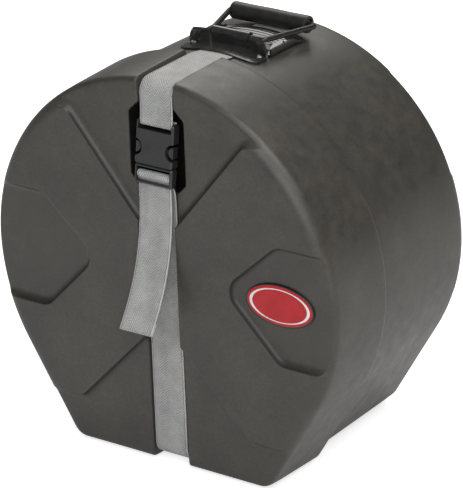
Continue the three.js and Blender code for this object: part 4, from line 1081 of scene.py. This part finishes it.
# The grip: a closed line of places along and away from its axis, hollow at both ends, turned round that axis
def makeGrip():
    half, radius, hollow = handle["gripHalf"], handle["grip"], handle["hollow"]
    deep = half - handle["hollowDepth"]
    end = [(half - 1.4, radius), (half - 0.5, radius - 0.25), (half, radius - 1), (half, hollow + 0.8),
           (half - 0.5, hollow), (deep, hollow - 0.2), (deep, 4.4), (deep + 3.4, 4.3),
           (deep + 3.4, handle["wire"] + 0.1)]
    spread = [(x, radius + handle["gripWave"] * np.cos(6 * x / half)) for x in np.linspace(3 - half, half - 3, 30)]
    line = np.array(spread + end + [(-x, out) for x, out in end[::-1]])
    along, out, turn = line[:, :1], line[:, 1:], fullTurn(40)
    axisY, axisZ = fromHinge(0, handle["reach"], handle["turn"])[1:]
    points = inFrame(along, axisY + out * np.cos(turn), axisZ + out * np.sin(turn))
    return makePiece("handleGrip", points, [hoopFaces(len(line), len(turn))], sharpAngle=40)


badge = {
    "x": 138.4, "z": 202.5, "halfX": 39.0, "halfZ": 21.5, "edge": 1.3, "backRear": 5.5, "backFront": 3.9,
    "faceFront": 3.8, "crown": 0.6, "ringX": (34.4, 31.2), "ringZ": (17.2, 16.1), "ringLift": 0.25,
    "sunk": 0.4, "faceThick": 1,
}


# A ring of the badge: an oval of two half widths at a depth
def ovalRing(a, b, y, turn):
    return inFrame(badge["x"] + a * np.cos(turn), y, badge["z"] + b * np.sin(turn))


# An oval lens: rings from its middle out, crowned by the square of their share, with a rounded edge and a flat back
def makeOval(name, halfX, halfZ, front, crownHeight, rear):
    rings = [(at * halfX, at * halfZ, front - crownHeight * (1 - at ** 2))
             for at in (0.08, 0.2, 0.35, 0.5, 0.65, 0.78, 0.88, 0.95)]
    rings += [(halfX - inset, halfZ - inset, front + back) for inset, back in ((0.35, 0.08), (0.1, 0.3), (0, 0.6))]
    rings += [(halfX, halfZ, rear)]
    turn = fullTurn(96)
    return makePiece(name, [ovalRing(*ring, turn) for ring in rings], tubeFaces(len(rings), len(turn)), sharpAngle=50)


# The pale line on the badge: a low round section between two ovals, wider at both ends
def makeOvalLine(name):
    turn, across = fullTurn(120)[None, :], np.linspace(0, 1, 7)[:, None]
    a, b = [outer + (inner - outer) * across for outer, inner in (badge["ringX"], badge["ringZ"])]
    onFace = badge["faceFront"] - badge["crown"] * (1 - (a / (badge["halfX"] - badge["edge"])) ** 2)
    lift = badge["ringLift"] * np.sqrt(1 - (2 * across - 1) ** 2)
    points = np.concatenate([ovalRing(a, b, onFace - lift, turn),
                             ovalRing(a, b, onFace + badge["sunk"], turn)[::-1]])
    return makePiece(name, points, [hoopFaces(*points.shape[:2])], sharpAngle=50)


foam = {"voxel": 3.6, "soften": 5, "dimple": 2.6, "pitch": 26.0, "facing": 0.8}


# A foam board: the copied solid in even small faces, softened at its edges, with rows of hollows on its inner face.
# A hollow's depth is the product of two raised cosines, less where the face turns towards an edge.
def makeFoam(name, node, side):
    rough = addObject(name + "Rough", mergedMesh(node))
    even = rough.modifiers.new("even", "REMESH")
    even.mode, even.voxel_size = "VOXEL", foam["voxel"] * mm
    rough.modifiers.new("soften", "SMOOTH").iterations = foam["soften"]
    made = bpy.data.meshes.new_from_object(rough.evaluated_get(bpy.context.evaluated_depsgraph_get()))
    bpy.data.objects.remove(rough)
    made.name = name
    place = valuesOf(made.vertices, "co", float, 3).reshape(-1, 3)
    normal = valuesOf(made.vertices, "normal", width=3).reshape(-1, 3)
    facing = easeIn((normal[:, 1] * side - foam["facing"]) / (1 - foam["facing"]))
    wave = 2 * np.pi / (foam["pitch"] * mm)
    hollow = (1 + np.cos(wave * place[:, 0])) * (1 + np.cos(wave * place[:, 2])) / 4
    place[:, 1] -= side * foam["dimple"] * mm * hollow * facing
    made.vertices.foreach_set("co", place.ravel())
    made.shade_smooth()
    made.update()
    return addObject(name, made)


print("stage")
bpy.context.scene.view_settings.view_transform = "Standard"
makeCamera()
makeFloor()
makeWorld()
for name, lamp in lamps.items():
    makeLamp(name, *lamp)

print("shells")
plastic = makePlastic()
lid = makeLid()
dress(lid, plastic, "lid", "plastic", "lid_shell")
# the pocket's deepest faces take the near-black painted shade
paintDeepShade(lid, makeFinish("deepPlastic"))
dress(makeBase(), plastic, "base", "plastic", "base_shell")
for side, name in ((-1, "footLeft"), (1, "footRight")):
    dress(makeFoot(name, side), plastic, "base", "plastic")

print("strap")
band = makeStrap()
dress(band, makeWebbing(), None, "webbing", "strap_upper", "strap_lower", "strap_rear")
blendEnds = [tuple(inFrame(0, strap[end], 200)) for end in ("blendFrom", "blendTo")]
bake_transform(band)

print("buckle")
acetal = makeFinish("acetal")
for node, name, body in (("buckle_socket", "buckleSocket", "lid"), ("buckle_plug", "bucklePlug", "lid"),
                         ("buckle_prong_left", "prongLeft", "prong_left"),
                         ("buckle_prong_right", "prongRight", "prong_right")):
    dress(roundedCopy(name, node, buckle["edge"]), acetal, body, "acetal", node)

print("handle")
plate = makeSheet("handlePlate", [frontPressing(), rolledBar(), rearPlate()], handle["sheet"], handle["edge"])
dress(plate, makeFinish("blackSteel"), "base", "black_steel", "handle_plate")
dress(makeBail(), makeFinish("wireSteel"), "bail", "wire", "handle_bail")
dress(makeGrip(), makeFinish("gripRubber"), "bail", "grip_rubber", "handle_grip")

print("badge")
halfX, halfZ, edge, front = badge["halfX"], badge["halfZ"], badge["edge"], badge["faceFront"]
dress(makeOval("badgeBack", halfX, halfZ, badge["backFront"], 0, badge["backRear"]), makeFinish("badgeEdge"), "lid",
      "badge_edge", "badge_backing")
dress(makeOval("badgeFace", halfX - edge, halfZ - edge, front, badge["crown"], front + badge["faceThick"]),
      makeFinish("badgeRed"), "lid", "badge_red", "badge_face")
dress(makeOvalLine("badgeLine"), makeFinish("badgeWhite"), "lid", "badge_white", "badge_ring")

print("foam")
foamFinish = makeFinish("foam")
for node, name, body, side in (("lid_foam", "lidFoam", "lid", 1), ("base_foam", "baseFoam", "base", -1)):
    pad = makeFoam(name, node, side)
    dress(pad, foamFinish, body, "foam", node)

print("finishes")
metals = {"handle_rivet": makeFinish("rivetSteel"), "handle_backing": makeFinish("zinc")}
for name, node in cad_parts.items():
    for start, material in metals.items():
        if name.startswith(start):
            node.data.materials.clear()
            node.data.materials.append(material)
